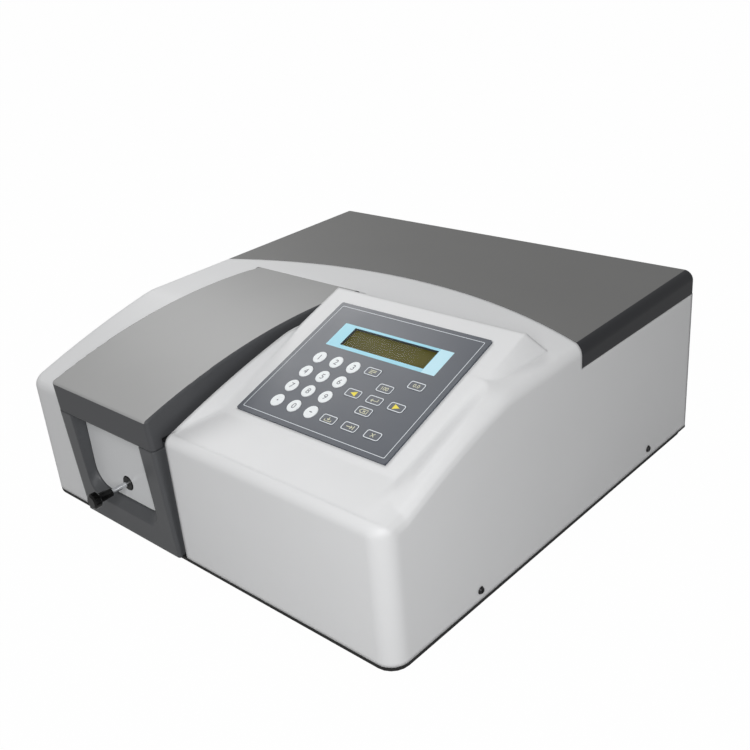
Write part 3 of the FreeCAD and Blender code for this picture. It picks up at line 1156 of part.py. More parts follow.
def keypad():
    """The panel with its keys, the board behind it and the display module."""
    sheet = rounded("panel_plate", panel_block("panel_plate_block", "0", "-panel_depth", PANEL_TOP),
                    (upright, "panel_round", "panel_round"))
    holes = [window_block("window_hole", "0", ("-5", "5"))]
    for name, kind, centre in key_places():
        holes.append(key_block(name + "_hole", kind, centre, "key_gap", ("-5", "5")))
        key = key_block(name + "_solid", kind, centre, "0", ("-key_depth", f"{PANEL_TOP} + key_proud"))
        finish(key, name, tilted=True)
    finish(cut("panel_pierced", sheet, *holes), "keypad_panel", tilted=True)
    finish(window_block("pane", "-pane_gap", (f"{PANEL_TOP} - pane_thickness", PANEL_TOP)), "lcd_window", tilted=True)
    board = panel_block("keypad_board_block", "(panel_ledge + board_inset)", f"{BOARD_TOP} - board_thickness", BOARD_TOP)
    room = window_block("module_room", "module_border + 0.2", ("-20", "5"))
    posts = []
    for number, (across, along) in enumerate(corner_signs()):
        x, y = at_panel(f"panel_width / 2 + {across}(panel_width / 2 - 10)",
                        f"panel_length / 2 + {along}(panel_length / 2 - 10)")
        posts.append(cylinder(f"board_post_{number}", "z", (x, y), (BOARD_TOP, "-panel_depth"), "2"))
    finish(fuse("board_made", cut("board_pierced", board, room), *posts), "keypad_board", tilted=True)
    frame = window_block("module_frame", "module_border", ("-panel_depth - module_depth", "-panel_depth"))
    glass = window_block("module_recess", "1", ("-panel_depth - glass_drop", "0"))
    finish(cut("module", frame, glass), "lcd_module", tilted=True)


front_housing_and_cover()
base_plate()
rubber_feet()
housing_screws()
sample_lid()
front_frame()
rod_panel()
sample_chamber()
carriage_rails()
cell_carriage()
detector_housing()
monochromator_case()
concave_mirrors()
grating_drive()
stepper_motors()
filter_wheel()
lamp()
fan()
back_panel()
power_inlet()
electronics()
keypad()

doc.recompute()
for made in doc.Objects:
    if "Invalid" in made.State or "Error" in made.State:
        raise RuntimeError(f"{made.Name} failed: {made.State}")
os.makedirs("parts", exist_ok=True)
for sub_part in finished:
    shape = sub_part.Shape
    if shape.isNull() or not shape.isValid() or not shape.Solids:
        raise RuntimeError(f"{sub_part.Label} has no valid shape")
    shape.exportStep(f"parts/{sub_part.Label}.step")
print(len(finished), "sub-parts written")
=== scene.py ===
"""Finishes, keypad prints, display and studio for a bench spectrophotometer."""
import math

import bmesh
import bpy
from mathutils import Matrix, Vector


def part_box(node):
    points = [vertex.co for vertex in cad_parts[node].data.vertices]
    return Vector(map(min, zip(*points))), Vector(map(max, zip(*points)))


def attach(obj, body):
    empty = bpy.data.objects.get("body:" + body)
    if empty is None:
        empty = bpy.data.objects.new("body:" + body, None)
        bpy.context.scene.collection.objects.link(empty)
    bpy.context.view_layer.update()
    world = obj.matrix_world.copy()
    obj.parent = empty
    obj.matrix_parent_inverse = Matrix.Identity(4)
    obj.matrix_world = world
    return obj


bl_info = {
    "name": "Bench Spectrophotometer",
    "version": (1, 0, 0),
    "blender": (4, 5, 0),
    "location": "3D View > Sidebar > Instrument",
    "description": "Finishes, keypad prints, display and studio for a bench spectrophotometer",
    "category": "Object",
}

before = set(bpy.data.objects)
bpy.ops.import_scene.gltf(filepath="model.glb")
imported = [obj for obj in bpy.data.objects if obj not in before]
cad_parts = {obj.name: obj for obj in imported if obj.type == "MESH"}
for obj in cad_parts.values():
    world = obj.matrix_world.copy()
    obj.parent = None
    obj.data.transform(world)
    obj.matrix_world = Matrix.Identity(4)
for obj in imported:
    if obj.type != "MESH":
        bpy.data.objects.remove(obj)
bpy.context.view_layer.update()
CHASSIS = "chassis"
MM = 0.001

# Paint and gloss of the shells
CLOUD_SIZE = 90 * MM
PAINT_GRAIN = 0.5 * MM
MOULDED_MIRROR = 0.3
TWO_TONE_SHEEN_MIRROR = 0.25
HOUSING_CREASE = 5 * MM
SURROUND_CREASE = 3.5 * MM
TWO_TONE_SHEEN_CREASE = 2 * MM
COVER_EDGE = 8.5 * MM
LID_EDGE = 2.2 * MM

# A black strip under the tray: partly the plate's folded edge, partly painted shadow in the gap
# under the housing
HEM_OUTSIDE = 0.2 * MM
HEM_INSIDE = 6 * MM
HEM_CORNER = 17 * MM
HEM_HEIGHT = 1.4 * MM
HEM_DROP = 1.38 * MM

# Prints on the keys
NUMBER_KEYS = {f"key_{digit}": str(digit) for digit in range(10)}
MARK_KEYS = ("key_decimal", "key_minus")
KEY_PREFIX = "key_"
DASH_REACH = 1.5 * MM
DASH_LINE = 1.0 * MM
DOT_SIZE = 1.5 * MM
DOT_ROUND = 0.7 * MM
OUTLINE_INSET = 0.2 * MM
OUTLINE_LINE = 0.8 * MM
OUTLINE_ROUND = 2.2 * MM
OUTLINE_INNER_ROUND = 1.6 * MM
ARROW_REACH = 3.2 * MM
ARROW_HALF = 2.9 * MM
SIGN_FIGURE_SIZE = 5.6 * MM
SIGN_LINE = 0.8 * MM
SIGN_SHARE = 0.36
FILM_BORDER_ROUND = 1.2 * MM

# The display and its printed border
DISPLAY_LEFT = 14.3 * MM
DISPLAY_RIGHT = 14.7 * MM
DISPLAY_BELOW = 4.3 * MM
DISPLAY_ABOVE = 3.0 * MM
DISPLAY_ROUND = 0.6 * MM
WINDOW_GAP = 0.3 * MM
WINDOW_ROUND = 0.3 * MM
BLUE_END_INSET = 0.5 * MM
CRYSTAL_MARGIN = 1.6 * MM
CRYSTAL_ROUND = 0.3 * MM
CRYSTAL_THICKNESS = 0.3 * MM
CRYSTAL_DEPTH = 3.25 * MM
CELL_COLUMNS = 21
CELL_ROWS = 3.2
CELL_GAP = 0.35 * MM

# The stage
GLOSS_WHITE = 0.35
FLOOR_SPAN = 40.0
FLOOR_ROUND = 1.0
FLOOR_THICKNESS = 2 * MM
SENSOR_WIDTH = 36.0
# Each lamp's place, the point it is turned to and its size, in metres
LAMPS = {
    "key": ((0.80, -0.92, 0.78), (0.05, -0.05, 0.08), 0.7),
    "top": ((-0.2, -0.3, 1.6), (0, 0, 0.1), 1.2),
    "side": ((-1.0, 0.45, 1.05), (0.05, 0, 0.15), 0.7),
}


# Places on the model
def face_frame(node):
    """Matrix from a flat tilted node's own axes to the model's, at its lower left outer corner."""
    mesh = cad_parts[node].data
    widest = max(mesh.polygons, key=lambda face: face.area)
    normal = widest.normal if widest.normal.z > 0 else -widest.normal
    turn = Matrix.Rotation(math.atan2(-normal.y, normal.z), 4, "X")
    points = [turn.inverted() @ vertex.co for vertex in mesh.vertices]
    corner = Vector((min(p.x for p in points),
                     min(p.y for p in points),
                     max(p.z for p in points)))
    return turn @ Matrix.Translation(corner)


PANEL = face_frame("keypad_panel")


def on_panel(node):
    """The middle of a node's upper face and its size, both measured on the keypad panel."""
    points = [PANEL.inverted() @ vertex.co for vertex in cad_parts[node].data.vertices]
    low = Vector([min(p[axis] for p in points) for axis in range(3)])
    high = Vector([max(p[axis] for p in points) for axis in range(3)])
    return Vector(((low.x + high.x) / 2, (low.y + high.y) / 2, high.z)), high - low


# Shader building
class Field:
    """A number that varies over a surface. Sums on it add their Math nodes."""

    def __init__(self, finish, socket):
        self.finish = finish
        self.socket = socket

    def made(self, operation, *values, clamp=False):
        """The result of one Math node."""
        node = self.finish.node("ShaderNodeMath", {"operation": operation, "use_clamp": clamp},
                                dict(enumerate(values)))
        return Field(self.finish, node.outputs[0])

    def __add__(self, other):
        return self.made("ADD", self, other)

    def __sub__(self, other):
        return self.made("SUBTRACT", self, other)

    def __rsub__(self, other):
        return self.made("SUBTRACT", other, self)

    def __mul__(self, other):
        return self.made("MULTIPLY", self, other)

    def __gt__(self, other):
        return self.made("GREATER_THAN", self, other)

    def __lt__(self, other):
        return self.made("LESS_THAN", self, other)

    def __abs__(self):
        return self.made("ABSOLUTE", self)

    __radd__ = __add__
    __rmul__ = __mul__

    def step(self, low, high):
        """0 below low, 1 above high, smooth between."""
        node = self.finish.node(
            "ShaderNodeMapRange", {"interpolation_type": "SMOOTHSTEP"},
            {"Value": self, "From Min": low, "From Max": high})
        return Field(self.finish, node.outputs["Result"])


class Finish:
    """One node material for a surface of the instrument, or the nodes of the world."""

    def __init__(self, name, world=None):
        self.material = world or bpy.data.materials.new(name)
        self.material.use_nodes = True
        self.tree = self.material.node_tree
        self.tree.nodes.clear()
        place = self.node("ShaderNodeTexCoord")
        self.place = place.outputs["Object"]
        self.facing = place.outputs["Normal"]

    def node(self, kind, settings=None, inputs=None):
        """Add a node, with its settings first and then the values or links of its sockets."""
        made = self.tree.nodes.new(kind)
        for name, setting in (settings or {}).items():
            if name == "stops":
                self.set_stops(made.color_ramp, setting)
            else:
                setattr(made, name, setting)
        for name, given in (inputs or {}).items():
            source = given.socket if isinstance(given, Field) else given
            if isinstance(source, bpy.types.NodeSocket):
                self.tree.links.new(source, made.inputs[name])
            else:
                made.inputs[name].default_value = source
        return made

    @staticmethod
    def set_stops(ramp, stops):
        """Give a colour ramp its places and colours."""
        while len(ramp.elements) < len(stops):
            ramp.elements.new(1.0)
        for element, (position, colour) in zip(ramp.elements, stops):
            element.position = position
            element.color = (*colour, 1)

    def axis(self, letter, source=None):
        """One coordinate of the surface's place, in metres, or of another vector."""
        split = self.node("ShaderNodeSeparateXYZ", None, {"Vector": source or self.place})
        return Field(self, split.outputs[letter])

    def stretched(self, scale):
        """The place, scaled by its own amount on each axis."""
        node = self.node("ShaderNodeVectorMath", {"operation": "MULTIPLY"},
                         {0: self.place, 1: scale})
        return node.outputs["Vector"]

    def noise(self, size, detail=2.0, stretch=(1, 1, 1)):
        """Soft mottling whose patches are about size metres across."""
        scale = tuple(1 / (size * part) for part in stretch)
        node = self.node("ShaderNodeTexNoise", None,
                         {"Vector": self.stretched(scale), "Scale": 1.0, "Detail": detail})
        return Field(self, node.outputs["Fac"])

    def cells(self, size):
        """Rounded grain of about size metres."""
        node = self.node("ShaderNodeTexVoronoi", {"feature": "SMOOTH_F1"},
                         {"Vector": self.place, "Scale": 1 / size, "Smoothness": 0.6})
        return Field(self, node.outputs["Distance"])

    def blend(self, factor, first, second):
        """A colour between two colours."""
        node = self.node("ShaderNodeMix", {"data_type": "RGBA"}, {"Factor": factor})
        for name, given in (("A", first), ("B", second)):
            socket = [s for s in node.inputs if s.name == name and s.type == "RGBA"][0]
            if isinstance(given, bpy.types.NodeSocket):
                self.tree.links.new(given, socket)
            else:
                socket.default_value = (*given, 1)
        return [s for s in node.outputs if s.type == "RGBA"][0]

    def relief(self, height, depth, eased=0.0):
        """A normal that follows a height field of depth metres, with the creases eased."""
        inputs = {"Height": height, "Distance": depth}
        if eased:
            ease = self.node("ShaderNodeBevel", {"samples": 6}, {"Radius": eased})
            inputs["Normal"] = ease.outputs["Normal"]
        return self.node("ShaderNodeBump", None, inputs).outputs["Normal"]

    def shine(self, colour, roughness, **sockets):
        """A principled surface. Words in socket names are joined by underscores."""
        inputs = {name.replace("_", " "): given for name, given in sockets.items()}
        inputs["Base Color"] = colour if isinstance(colour, bpy.types.NodeSocket) else (*colour, 1)
        inputs["Roughness"] = roughness
        return self.node("ShaderNodeBsdfPrincipled", None, inputs).outputs["BSDF"]

    def done(self, shader):
        """Close the material with its surface shader."""
        self.node("ShaderNodeOutputMaterial", None, {"Surface": shader})
        return self.material


def shade(colour, amount):
    """The same colour, lighter or darker by a share."""
    return tuple(min(part * amount, 1.0) for part in colour)


def moulded(name, colour, roughness, eased=0.0):
    """Painted or moulded plastic: faint clouding, a fine pebble grain and a few duller patches."""
    finish = Finish(name)
    cloud = finish.noise(CLOUD_SIZE, 3.0)
    speck = finish.noise(PAINT_GRAIN, 1.0)
    tint = finish.blend(cloud * 0.7 + speck * 0.3, shade(colour, 0.965), shade(colour, 1.035))
    dull = roughness - 0.04 + finish.noise(35 * MM, 2.0) * 0.08
    skin = finish.relief(finish.noise(0.6 * MM, 1.5), 0.012 * MM, eased)
    return finish.done(finish.shine(tint, dull, Normal=skin, Specular_IOR_Level=MOULDED_MIRROR))


def coated_metal(name, colour, roughness, metallic=0.0, grain=0.9 * MM):
    """Powder coat or anodising on metal, with the orange peel of the coat."""
    finish = Finish(name)
    wear = finish.noise(18 * MM, 4.0)
    tint = finish.blend(wear, shade(colour, 0.85), shade(colour, 1.2))
    skin = finish.relief(finish.cells(grain), 0.02 * MM)
    dull = roughness - 0.06 + wear * 0.12
    return finish.done(finish.shine(tint, dull, Metallic=metallic, Normal=skin))


def turned_metal(name, colour, roughness, lines):
    """Bare metal with fine tool lines, stretched by a share on each axis, and handling marks."""
    finish = Finish(name)
    cuts = finish.noise(4 * MM, 2.0, lines)
    marks = finish.noise(9 * MM, 4.0)
    tint = finish.blend(marks, shade(colour, 0.88), shade(colour, 1.08))
    skin = finish.relief(cuts, 0.006 * MM)
    return finish.done(finish.shine(tint, roughness + cuts * 0.15, Metallic=1.0, Normal=skin))


def rubbery(name, colour, grain=0.35 * MM):
    """Matt rubber or foam with a dusty bloom."""
    finish = Finish(name)
    bloom = finish.noise(7 * MM, 4.0)
    tint = finish.blend(bloom, colour, shade(colour, 1.9))
    skin = finish.relief(finish.noise(grain, 2.0), 0.06 * MM)
    return finish.done(finish.shine(tint, 0.72 + bloom * 0.16, Normal=skin))


def gloss_plastic(name, colour, roughness, mirror=0.5):
    """Hard shiny plastic with fine rub marks."""
    finish = Finish(name)
    rubs = finish.noise(5 * MM, 5.0, (1, 0.2, 1))
    tint = finish.blend(rubs, colour, shade(colour, 1.3))
    skin = finish.relief(finish.noise(2.2 * MM, 1.0), 0.008 * MM)
    dull = roughness + rubs * 0.1
    return finish.done(finish.shine(tint, dull, Normal=skin, Specular_IOR_Level=mirror))


def ink(name, colour):
    """Screen ink, slightly uneven where it was pulled thin."""
    finish = Finish(name)
    thin = finish.noise(0.8 * MM, 2.0)
    tint = finish.blend(thin, shade(colour, 0.93), shade(colour, 1.06))
    skin = finish.relief(finish.noise(0.2 * MM, 1.0), 0.01 * MM)
    return finish.done(finish.shine(tint, 0.42 + thin * 0.1, Normal=skin))


def circuit_board(name, mask, track):
    """Solder mask over copper tracks, with bare pads between them."""
    finish = Finish(name)
    bricks = finish.node("ShaderNodeTexBrick", {"offset": 0.37, "squash": 1.6},
                         {"Vector": finish.place, "Scale": 95.0, "Mortar Size": 0.028})
    tracks = bricks.outputs["Fac"]
    spots = finish.node("ShaderNodeTexVoronoi", None, {"Vector": finish.place, "Scale": 210.0})
    pads = Field(finish, spots.outputs["Distance"]) < 0.17
    laid = finish.blend(tracks, mask, track)
    tint = finish.blend(pads, laid, (0.62, 0.60, 0.55))
    skin = finish.relief(Field(finish, tracks) + pads, 0.03 * MM)
    return finish.done(finish.shine(tint, 0.3 + finish.noise(3 * MM) * 0.15, Normal=skin))


# Mesh building, flat on the panel
def rounded_rectangle(width, length, radius, steps=5):
    """Points of a rounded rectangle about the middle, anticlockwise."""
    points = []
    for number, (across, along) in enumerate(((1, 1), (-1, 1), (-1, -1), (1, -1))):
        centre = Vector((across * (width / 2 - radius), along * (length / 2 - radius)))
        for part in range(steps + 1):
            turn = math.pi / 2 * (number + part / steps)
            points.append(centre + radius * Vector((math.cos(turn), math.sin(turn))))
    return points


def prism(name, loops, height):
    """A flat plate of one outline, or the band between two outlines with as many points each."""
    mesh = bmesh.new()
    rows = [[mesh.verts.new((p.x, p.y, z)) for p in loop] for loop in loops for z in (0.0, height)]
    count = len(loops[0])
    if len(loops) == 1:
        low, high = rows
        mesh.faces.new(high)
        mesh.faces.new(list(reversed(low)))
        pairs = ((low, high),)
    else:
        low, high, inner_low, inner_high = rows
        pairs = ((low, high), (high, inner_high), (inner_high, inner_low), (inner_low, low))
    for first, second in pairs:
        for index in range(count):
            after = (index + 1) % count
            mesh.faces.new((first[index], first[after], second[after], second[index]))
    bmesh.ops.recalc_face_normals(mesh, faces=mesh.faces)
    made = bpy.data.meshes.new(name)
    mesh.to_mesh(made)
    mesh.free()
    return made


def shifted(points, across, along):
    """Points moved on the panel."""
    return [point + Vector((across, along)) for point in points]


def curve_mesh(name, curve):
    """The mesh of a curve or text, with nothing of the curve left."""
    holder = bpy.data.objects.new(name, curve)
    bpy.context.scene.collection.objects.link(holder)
    bpy.context.view_layer.update()
    graph = bpy.context.evaluated_depsgraph_get()
    made = bpy.data.meshes.new_from_object(holder.evaluated_get(graph))
    made.name = name
    bpy.data.objects.remove(holder)
    bpy.data.curves.remove(curve)
    return made


def drawn_lines(name, paths, line, height):
    """Rounded ink lines along paths of points."""
    curve = bpy.data.curves.new(name, "CURVE")
    curve.dimensions = "3D"
    curve.bevel_depth = line / 2
    curve.bevel_resolution = 1
    curve.use_fill_caps = True
    for path in paths:
        spline = curve.splines.new("POLY")
        spline.points.add(len(path) - 1)
        for point, (across, along) in zip(spline.points, path):
            point.co = (across, along, 0, 1)
    made = curve_mesh(name, curve)
    made.transform(Matrix.Diagonal((1, 1, 2 * height / line, 1)))
    return made


def typed(name, text, size, height):
    """Figures, centred, as thin raised ink."""
    curve = bpy.data.curves.new(name, "FONT")
    curve.body = text
    curve.size = size
    curve.align_x = "CENTER"
    curve.align_y = "CENTER"
    curve.extrude = height
    curve.resolution_u = 4
    made = curve_mesh(name, curve)
    places = [vertex.co for vertex in made.vertices]
    middle = [(min(p[axis] for p in places) + max(p[axis] for p in places)) / 2
              for axis in range(2)]
    made.transform(Matrix.Translation((-middle[0], -middle[1], 0)))
    return made


def place_piece(name, mesh, material, body, across=0.0, along=0.0, above=0.0):
    """Lay a mesh on the panel and let it ride on a body."""
    mesh.materials.clear()
    mesh.materials.append(material)
    piece = bpy.data.objects.new(name, mesh)
    bpy.context.scene.collection.objects.link(piece)
    piece.matrix_world = PANEL @ Matrix.Translation((across, along, above))
    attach(piece, body)
    return piece


def dress(material, *nodes):
    """Give model nodes a material."""
    for node in nodes:
        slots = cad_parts[node].data.materials
        slots.clear()
        slots.append(material)


# Settings
def colour_setting(name, description, default):
    """A colour that the panel offers."""
    return bpy.props.FloatVectorProperty(name=name, description=description, default=default,
                                         subtype="COLOR", size=3, min=0.0, max=1.0)


def length_setting(name, description, default):
    """A length that the panel offers."""
    return bpy.props.FloatProperty(name=name, description=description, default=default,
                                   subtype="DISTANCE", unit="LENGTH", min=0.0)


def angle_setting(name, description, degrees):
    """An angle that the panel offers."""
    return bpy.props.FloatProperty(name=name, description=description,
                                   default=math.radians(degrees), subtype="ANGLE")


def power_setting(name, description, default):
    """The strength of a lamp or of the even light."""
    return bpy.props.FloatProperty(name=name, description=description, default=default, min=0.0)


class ShellSettings(bpy.types.PropertyGroup):
    """Colours of the outer shells."""
    housing: colour_setting("Housing", "Moulded front housing", (0.785, 0.79, 0.797))
    # The cover's top colour is a painted sheen over its dark paint; the lid's top colour is partly
    # a light finish and partly painted sheen.
    cover: colour_setting("Cover top", "Upper face of the rear cover", (0.172, 0.172, 0.169))
    cover_side: colour_setting("Cover sides", "Rounded edge and walls of the rear cover",
                               (0.022, 0.023, 0.026))
    lid_top: colour_setting("Lid top", "Upper face of the sample lid", (0.405, 0.406, 0.404))
    lid_side: colour_setting("Lid sides", "Walls of the sample lid", (0.076, 0.078, 0.083))
    surround: colour_setting("Surround", "Frame around the pull rod", (0.082, 0.085, 0.090))
    rod_plate: colour_setting("Rod plate", "Plate behind the pull rod", (0.72, 0.73, 0.74))


class KeypadSettings(bpy.types.PropertyGroup):
    """Colours and sizes of the keypad's prints."""
    film: colour_setting("Film", "Ground colour of the keypad film", (0.070, 0.080, 0.100))
    key: colour_setting("Number keys", "Ground of the number keys", (0.74, 0.77, 0.80))
    figure: colour_setting("Figures", "Figures on the number keys", (0.16, 0.17, 0.19))
    line: colour_setting("Lines", "Light lines on the film", (0.78, 0.82, 0.86))
    sign: colour_setting("Signs", "Signs on the function keys", (0.74, 0.73, 0.52))
    arrow: colour_setting("Arrows", "Wavelength arrows", (0.92, 0.76, 0.05))
    bezel: colour_setting("Display border", "Ends of the border round the display",
                          (0.24, 0.66, 0.82))
    bezel_light: colour_setting("Display edge", "Long sides of that border", (0.50, 0.82, 0.94))
    glass: colour_setting("Display", "Display at rest", (0.125, 0.112, 0.014))
    figure_size: length_setting("Figure size", "Height setting of the figures", 8.6 * MM)
    ink_height: length_setting("Ink height", "How far ink stands up", 0.06 * MM)
    line_width: length_setting("Line width", "Width of the border line", 0.55 * MM)
    border_inset: length_setting("Border inset", "From the film's edge to its border line",
                                 4.4 * MM)


class StudioSettings(bpy.types.PropertyGroup):
    """Camera and lamps."""
    azimuth: angle_setting("Azimuth", "Camera, round from the front", 44.177)
    elevation: angle_setting("Elevation", "Camera, up from level", 25.190)
    roll: angle_setting("Roll", "Camera, round its own axis", -5.098)
    lens: bpy.props.FloatProperty(name="Lens", description="Focal length on a 36 mm sensor",
                                  default=47.643, unit="CAMERA")
    distance: length_setting("Distance", "Camera to its target", 1.0)
    target: bpy.props.FloatVectorProperty(
        name="Target", description="Point on the view's axis, from the model's middle",
        default=(0.0077, 0.0094, 0.101), subtype="TRANSLATION", size=3)
    key_power: power_setting("Key lamp", "Lamp to the front right", 10.5)
    top_power: power_setting("Top lamp", "Large lamp above", 2.7)
    side_power: power_setting("Side lamp", "Lamp to the rear left", 5.5)
    fill: power_setting("Fill", "Even light from all round", 0.22)
    floor: colour_setting("Floor", "Floor and backdrop", (0.45, 0.45, 0.45))
    floor_white: bpy.props.FloatProperty(
        name="Floor white", description="Share of plain white in the floor",
        default=0.99, min=0.0, max=1.0, subtype="FACTOR")


# Operators
class INSTRUMENT_OT_shells(bpy.types.Operator):
    """Finish the housing, cover, lid, surround, base and back"""
    bl_idname = "instrument.shells"
    bl_label = "Finish Shells"

    def execute(self, context):
        colours = context.scene.instrument_shells
        dress(moulded("housing_paint", colours.housing, 0.44, HOUSING_CREASE), "front_housing")
        # Light tops with painted sheen, and dark walls, for the rear cover and the lid.
        for node, top, side, edge in (
                ("rear_cover", colours.cover, colours.cover_side, COVER_EDGE),
                ("sample_lid", colours.lid_top, colours.lid_side, LID_EDGE)):
            dress(self.two_tone(node, top, side, edge), node)
        dress(moulded("surround_paint", colours.surround, 0.34, SURROUND_CREASE), "front_frame")
        dress(moulded("rod_plate_paint", colours.rod_plate, 0.30), "rod_panel")
        dress(coated_metal("base_coat", (0.004, 0.004, 0.004), 0.75), "base_plate")
        dress(coated_metal("back_coat", (0.16, 0.165, 0.17), 0.45), "back_panel")
        dress(rubbery("foot_rubber", (0.012, 0.012, 0.012)), "rubber_feet")
        self.hem()
        dress(coated_metal("screw_black", (0.014, 0.014, 0.015), 0.38, 0.6, 0.3 * MM),
              "housing_screws")
        return {"FINISHED"}

    @staticmethod
    def hem():
        """A black strip under the tray's rim, partly the plate's folded edge and partly painted
        shadow in the gap above the floor, which shows as a dark line below the housing.
        """
        low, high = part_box("base_plate")
        centre = (low + high) / 2
        loops = [rounded_rectangle(high.x - low.x - 2 * inset, high.y - low.y - 2 * inset,
                                   HEM_CORNER - inset)
                 for inset in (HEM_OUTSIDE, HEM_INSIDE)]
        mesh = prism("tray_hem", loops, HEM_HEIGHT)
        # Painted shadow: the strip's near black stands partly for the shade in the gap under the
        # housing.
        mesh.materials.append(rubbery("hem_black", (0.002, 0.002, 0.002)))
        hem = bpy.data.objects.new("tray_hem", mesh)
        hem.location = (centre.x, centre.y, low.z - HEM_DROP)
        bpy.context.scene.collection.objects.link(hem)
        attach(hem, CHASSIS)

    @staticmethod
    def two_tone(node, upper, lower, edge):
        """A light top as far as the rounding of its edge, and darker walls. On the rear cover the
        light top is a painted sheen over dark paint; on the lid it is partly a light finish and
        partly painted sheen.
        """
        finish = Finish(f"{node}_paint")
        low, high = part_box(node)
        width = abs(finish.axis("X") - (low.x + high.x) / 2)
        inside = width < (high.x - low.x) / 2 - edge
        # Painted sheen: faces that look upwards, inside the rounded edges, get the light top
        # colour.
        painted_sheen_top = (finish.axis("Z", finish.facing) > 0.1) * inside
        cloud = finish.noise(CLOUD_SIZE, 3.0)
        top = finish.blend(cloud, shade(upper, 0.94), shade(upper, 1.06))
        side = finish.blend(cloud, shade(lower, 0.94), shade(lower, 1.06))
        tint = finish.blend(painted_sheen_top, side, top)
        skin = finish.relief(finish.noise(PAINT_GRAIN, 1.5), 0.010 * MM, TWO_TONE_SHEEN_CREASE)
        return finish.done(finish.shine(tint, 0.42 + cloud * 0.06, Normal=skin,
                                        Specular_IOR_Level=TWO_TONE_SHEEN_MIRROR))


class INSTRUMENT_OT_changer(bpy.types.Operator):
    """Finish the sample chamber, the cell changer and its pull rod"""
    bl_idname = "instrument.changer"
    bl_label = "Finish Cell Changer"

    def execute(self, context):
        dress(coated_metal("black_anodising", (0.018, 0.018, 0.019), 0.55, 0.3),
              "sample_chamber", "cell_carriage", "detector_housing", "filter_wheel")
        dress(turned_metal("plated_rod", (0.74, 0.75, 0.77), 0.12, (0.04, 1, 0.04)), "pull_rod")
        dress(turned_metal("ground_steel", (0.55, 0.56, 0.58), 0.22, (0.04, 1, 0.04)),
              "carriage_rails", "lead_screw", "lid_hinge_pin")
        dress(gloss_plastic("knob_black", (0.003, 0.003, 0.003), 0.10, 0.25), "rod_knob")
        dress(gloss_plastic("grommet_black", (0.003, 0.003, 0.003), 0.3, 0.2), "rod_grommet")
        dress(rubbery("seal_foam", (0.014, 0.014, 0.014), 0.8 * MM), "lid_seal")
        return {"FINISHED"}


class INSTRUMENT_OT_optics(bpy.types.Operator):
    """Finish the monochromator, lamp, fan, boards and the power inlet"""
    bl_idname = "instrument.optics"
    bl_label = "Finish Inner Works"

    def execute(self, context):
        dress(coated_metal("cast_coat", (0.030, 0.031, 0.033), 0.6, 0.2, 1.6 * MM),
              "monochromator_case")
        dress(self.mirror(), "concave_mirrors")
        dress(self.ruled_glass(), "grating")
        dress(turned_metal("brass", (0.66, 0.50, 0.24), 0.28, (1, 0.05, 0.05)),
              "grating_table", "drive_nut")
        dress(coated_metal("motor_black", (0.02, 0.02, 0.022), 0.42, 0.4), "stepper_motors")
        dress(self.lamp_glass(), "lamp")
        dress(turned_metal("sheet_steel", (0.52, 0.53, 0.55), 0.36, (1, 1, 0.05)), "lamp_house")
        dress(moulded("fan_plastic", (0.022, 0.022, 0.023), 0.40), "fan_frame", "fan_rotor")
        dress(gloss_plastic("inlet_plastic", (0.014, 0.014, 0.015), 0.26), "power_inlet")
        dress(gloss_plastic("rocker_plastic", (0.012, 0.012, 0.012), 0.2), "switch_rocker")
        dress(circuit_board("green_board", (0.010, 0.095, 0.035), (0.03, 0.20, 0.07)),
              "main_board", "keypad_board")
        dress(self.transformer(), "power_transformer")
        return {"FINISHED"}

    @staticmethod
    def mirror():
        """Front-silvered glass with a faint haze."""
        finish = Finish("front_silvered")
        haze = finish.noise(20 * MM, 4.0)
        tint = finish.blend(haze, (0.80, 0.82, 0.84), (0.90, 0.91, 0.92))
        return finish.done(finish.shine(tint, 0.03 + haze * 0.05, Metallic=1.0))

    @staticmethod
    def ruled_glass():
        """Fine ruled lines, with the colours they split the light into painted into the base
        colour as rainbow bands.
        """
        finish = Finish("ruled_grating")
        # Painted reflection: rainbow bands along the height stand for the diffracted light.
        band = finish.axis("Z") * 30.0 + finish.noise(16 * MM)
        painted_rainbow = finish.node("ShaderNodeValToRGB", {"stops": (
            (0.0, (0.25, 0.10, 0.55)), (0.35, (0.10, 0.45, 0.60)), (0.6, (0.30, 0.65, 0.20)),
            (0.8, (0.75, 0.60, 0.10)), (1.0, (0.70, 0.15, 0.10)))},
            {"Fac": band.made("FRACT", band)})
        skin = finish.relief(finish.noise(1 * MM, 1.0, (1, 1, 0.02)), 0.01 * MM)
        return finish.done(finish.shine(painted_rainbow.outputs["Color"], 0.2, Metallic=0.9, Normal=skin))

    @staticmethod
    def lamp_glass():
        """A clear bulb on a white ceramic base, which makes up the lower three fifths."""
        finish = Finish("bulb_and_base")
        low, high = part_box("lamp")
        tall = high.z - low.z
        glass = finish.shine((0.95, 0.96, 0.97), 0.05, Alpha=0.35)
        grit = finish.noise(0.6 * MM, 2.0)
        ceramic = finish.shine(finish.blend(grit, (0.70, 0.68, 0.64), (0.82, 0.81, 0.78)), 0.6)
        above = finish.axis("Z").step(low.z + tall * 0.60, low.z + tall * 0.62)
        both = finish.node("ShaderNodeMixShader", None, {0: above, 1: ceramic, 2: glass})
        return finish.done(both.outputs[0])

    @staticmethod
    def transformer():
        """Stacked steel sheets with a taped winding."""
        finish = Finish("laminated_core")
        sheets = finish.noise(1.2 * MM, 0.0, (20, 0.6, 20))
        tint = finish.blend(sheets, (0.06, 0.055, 0.05), (0.16, 0.15, 0.14))
        skin = finish.relief(sheets, 0.05 * MM)
        return finish.done(finish.shine(tint, 0.5, Metallic=0.4, Normal=skin))


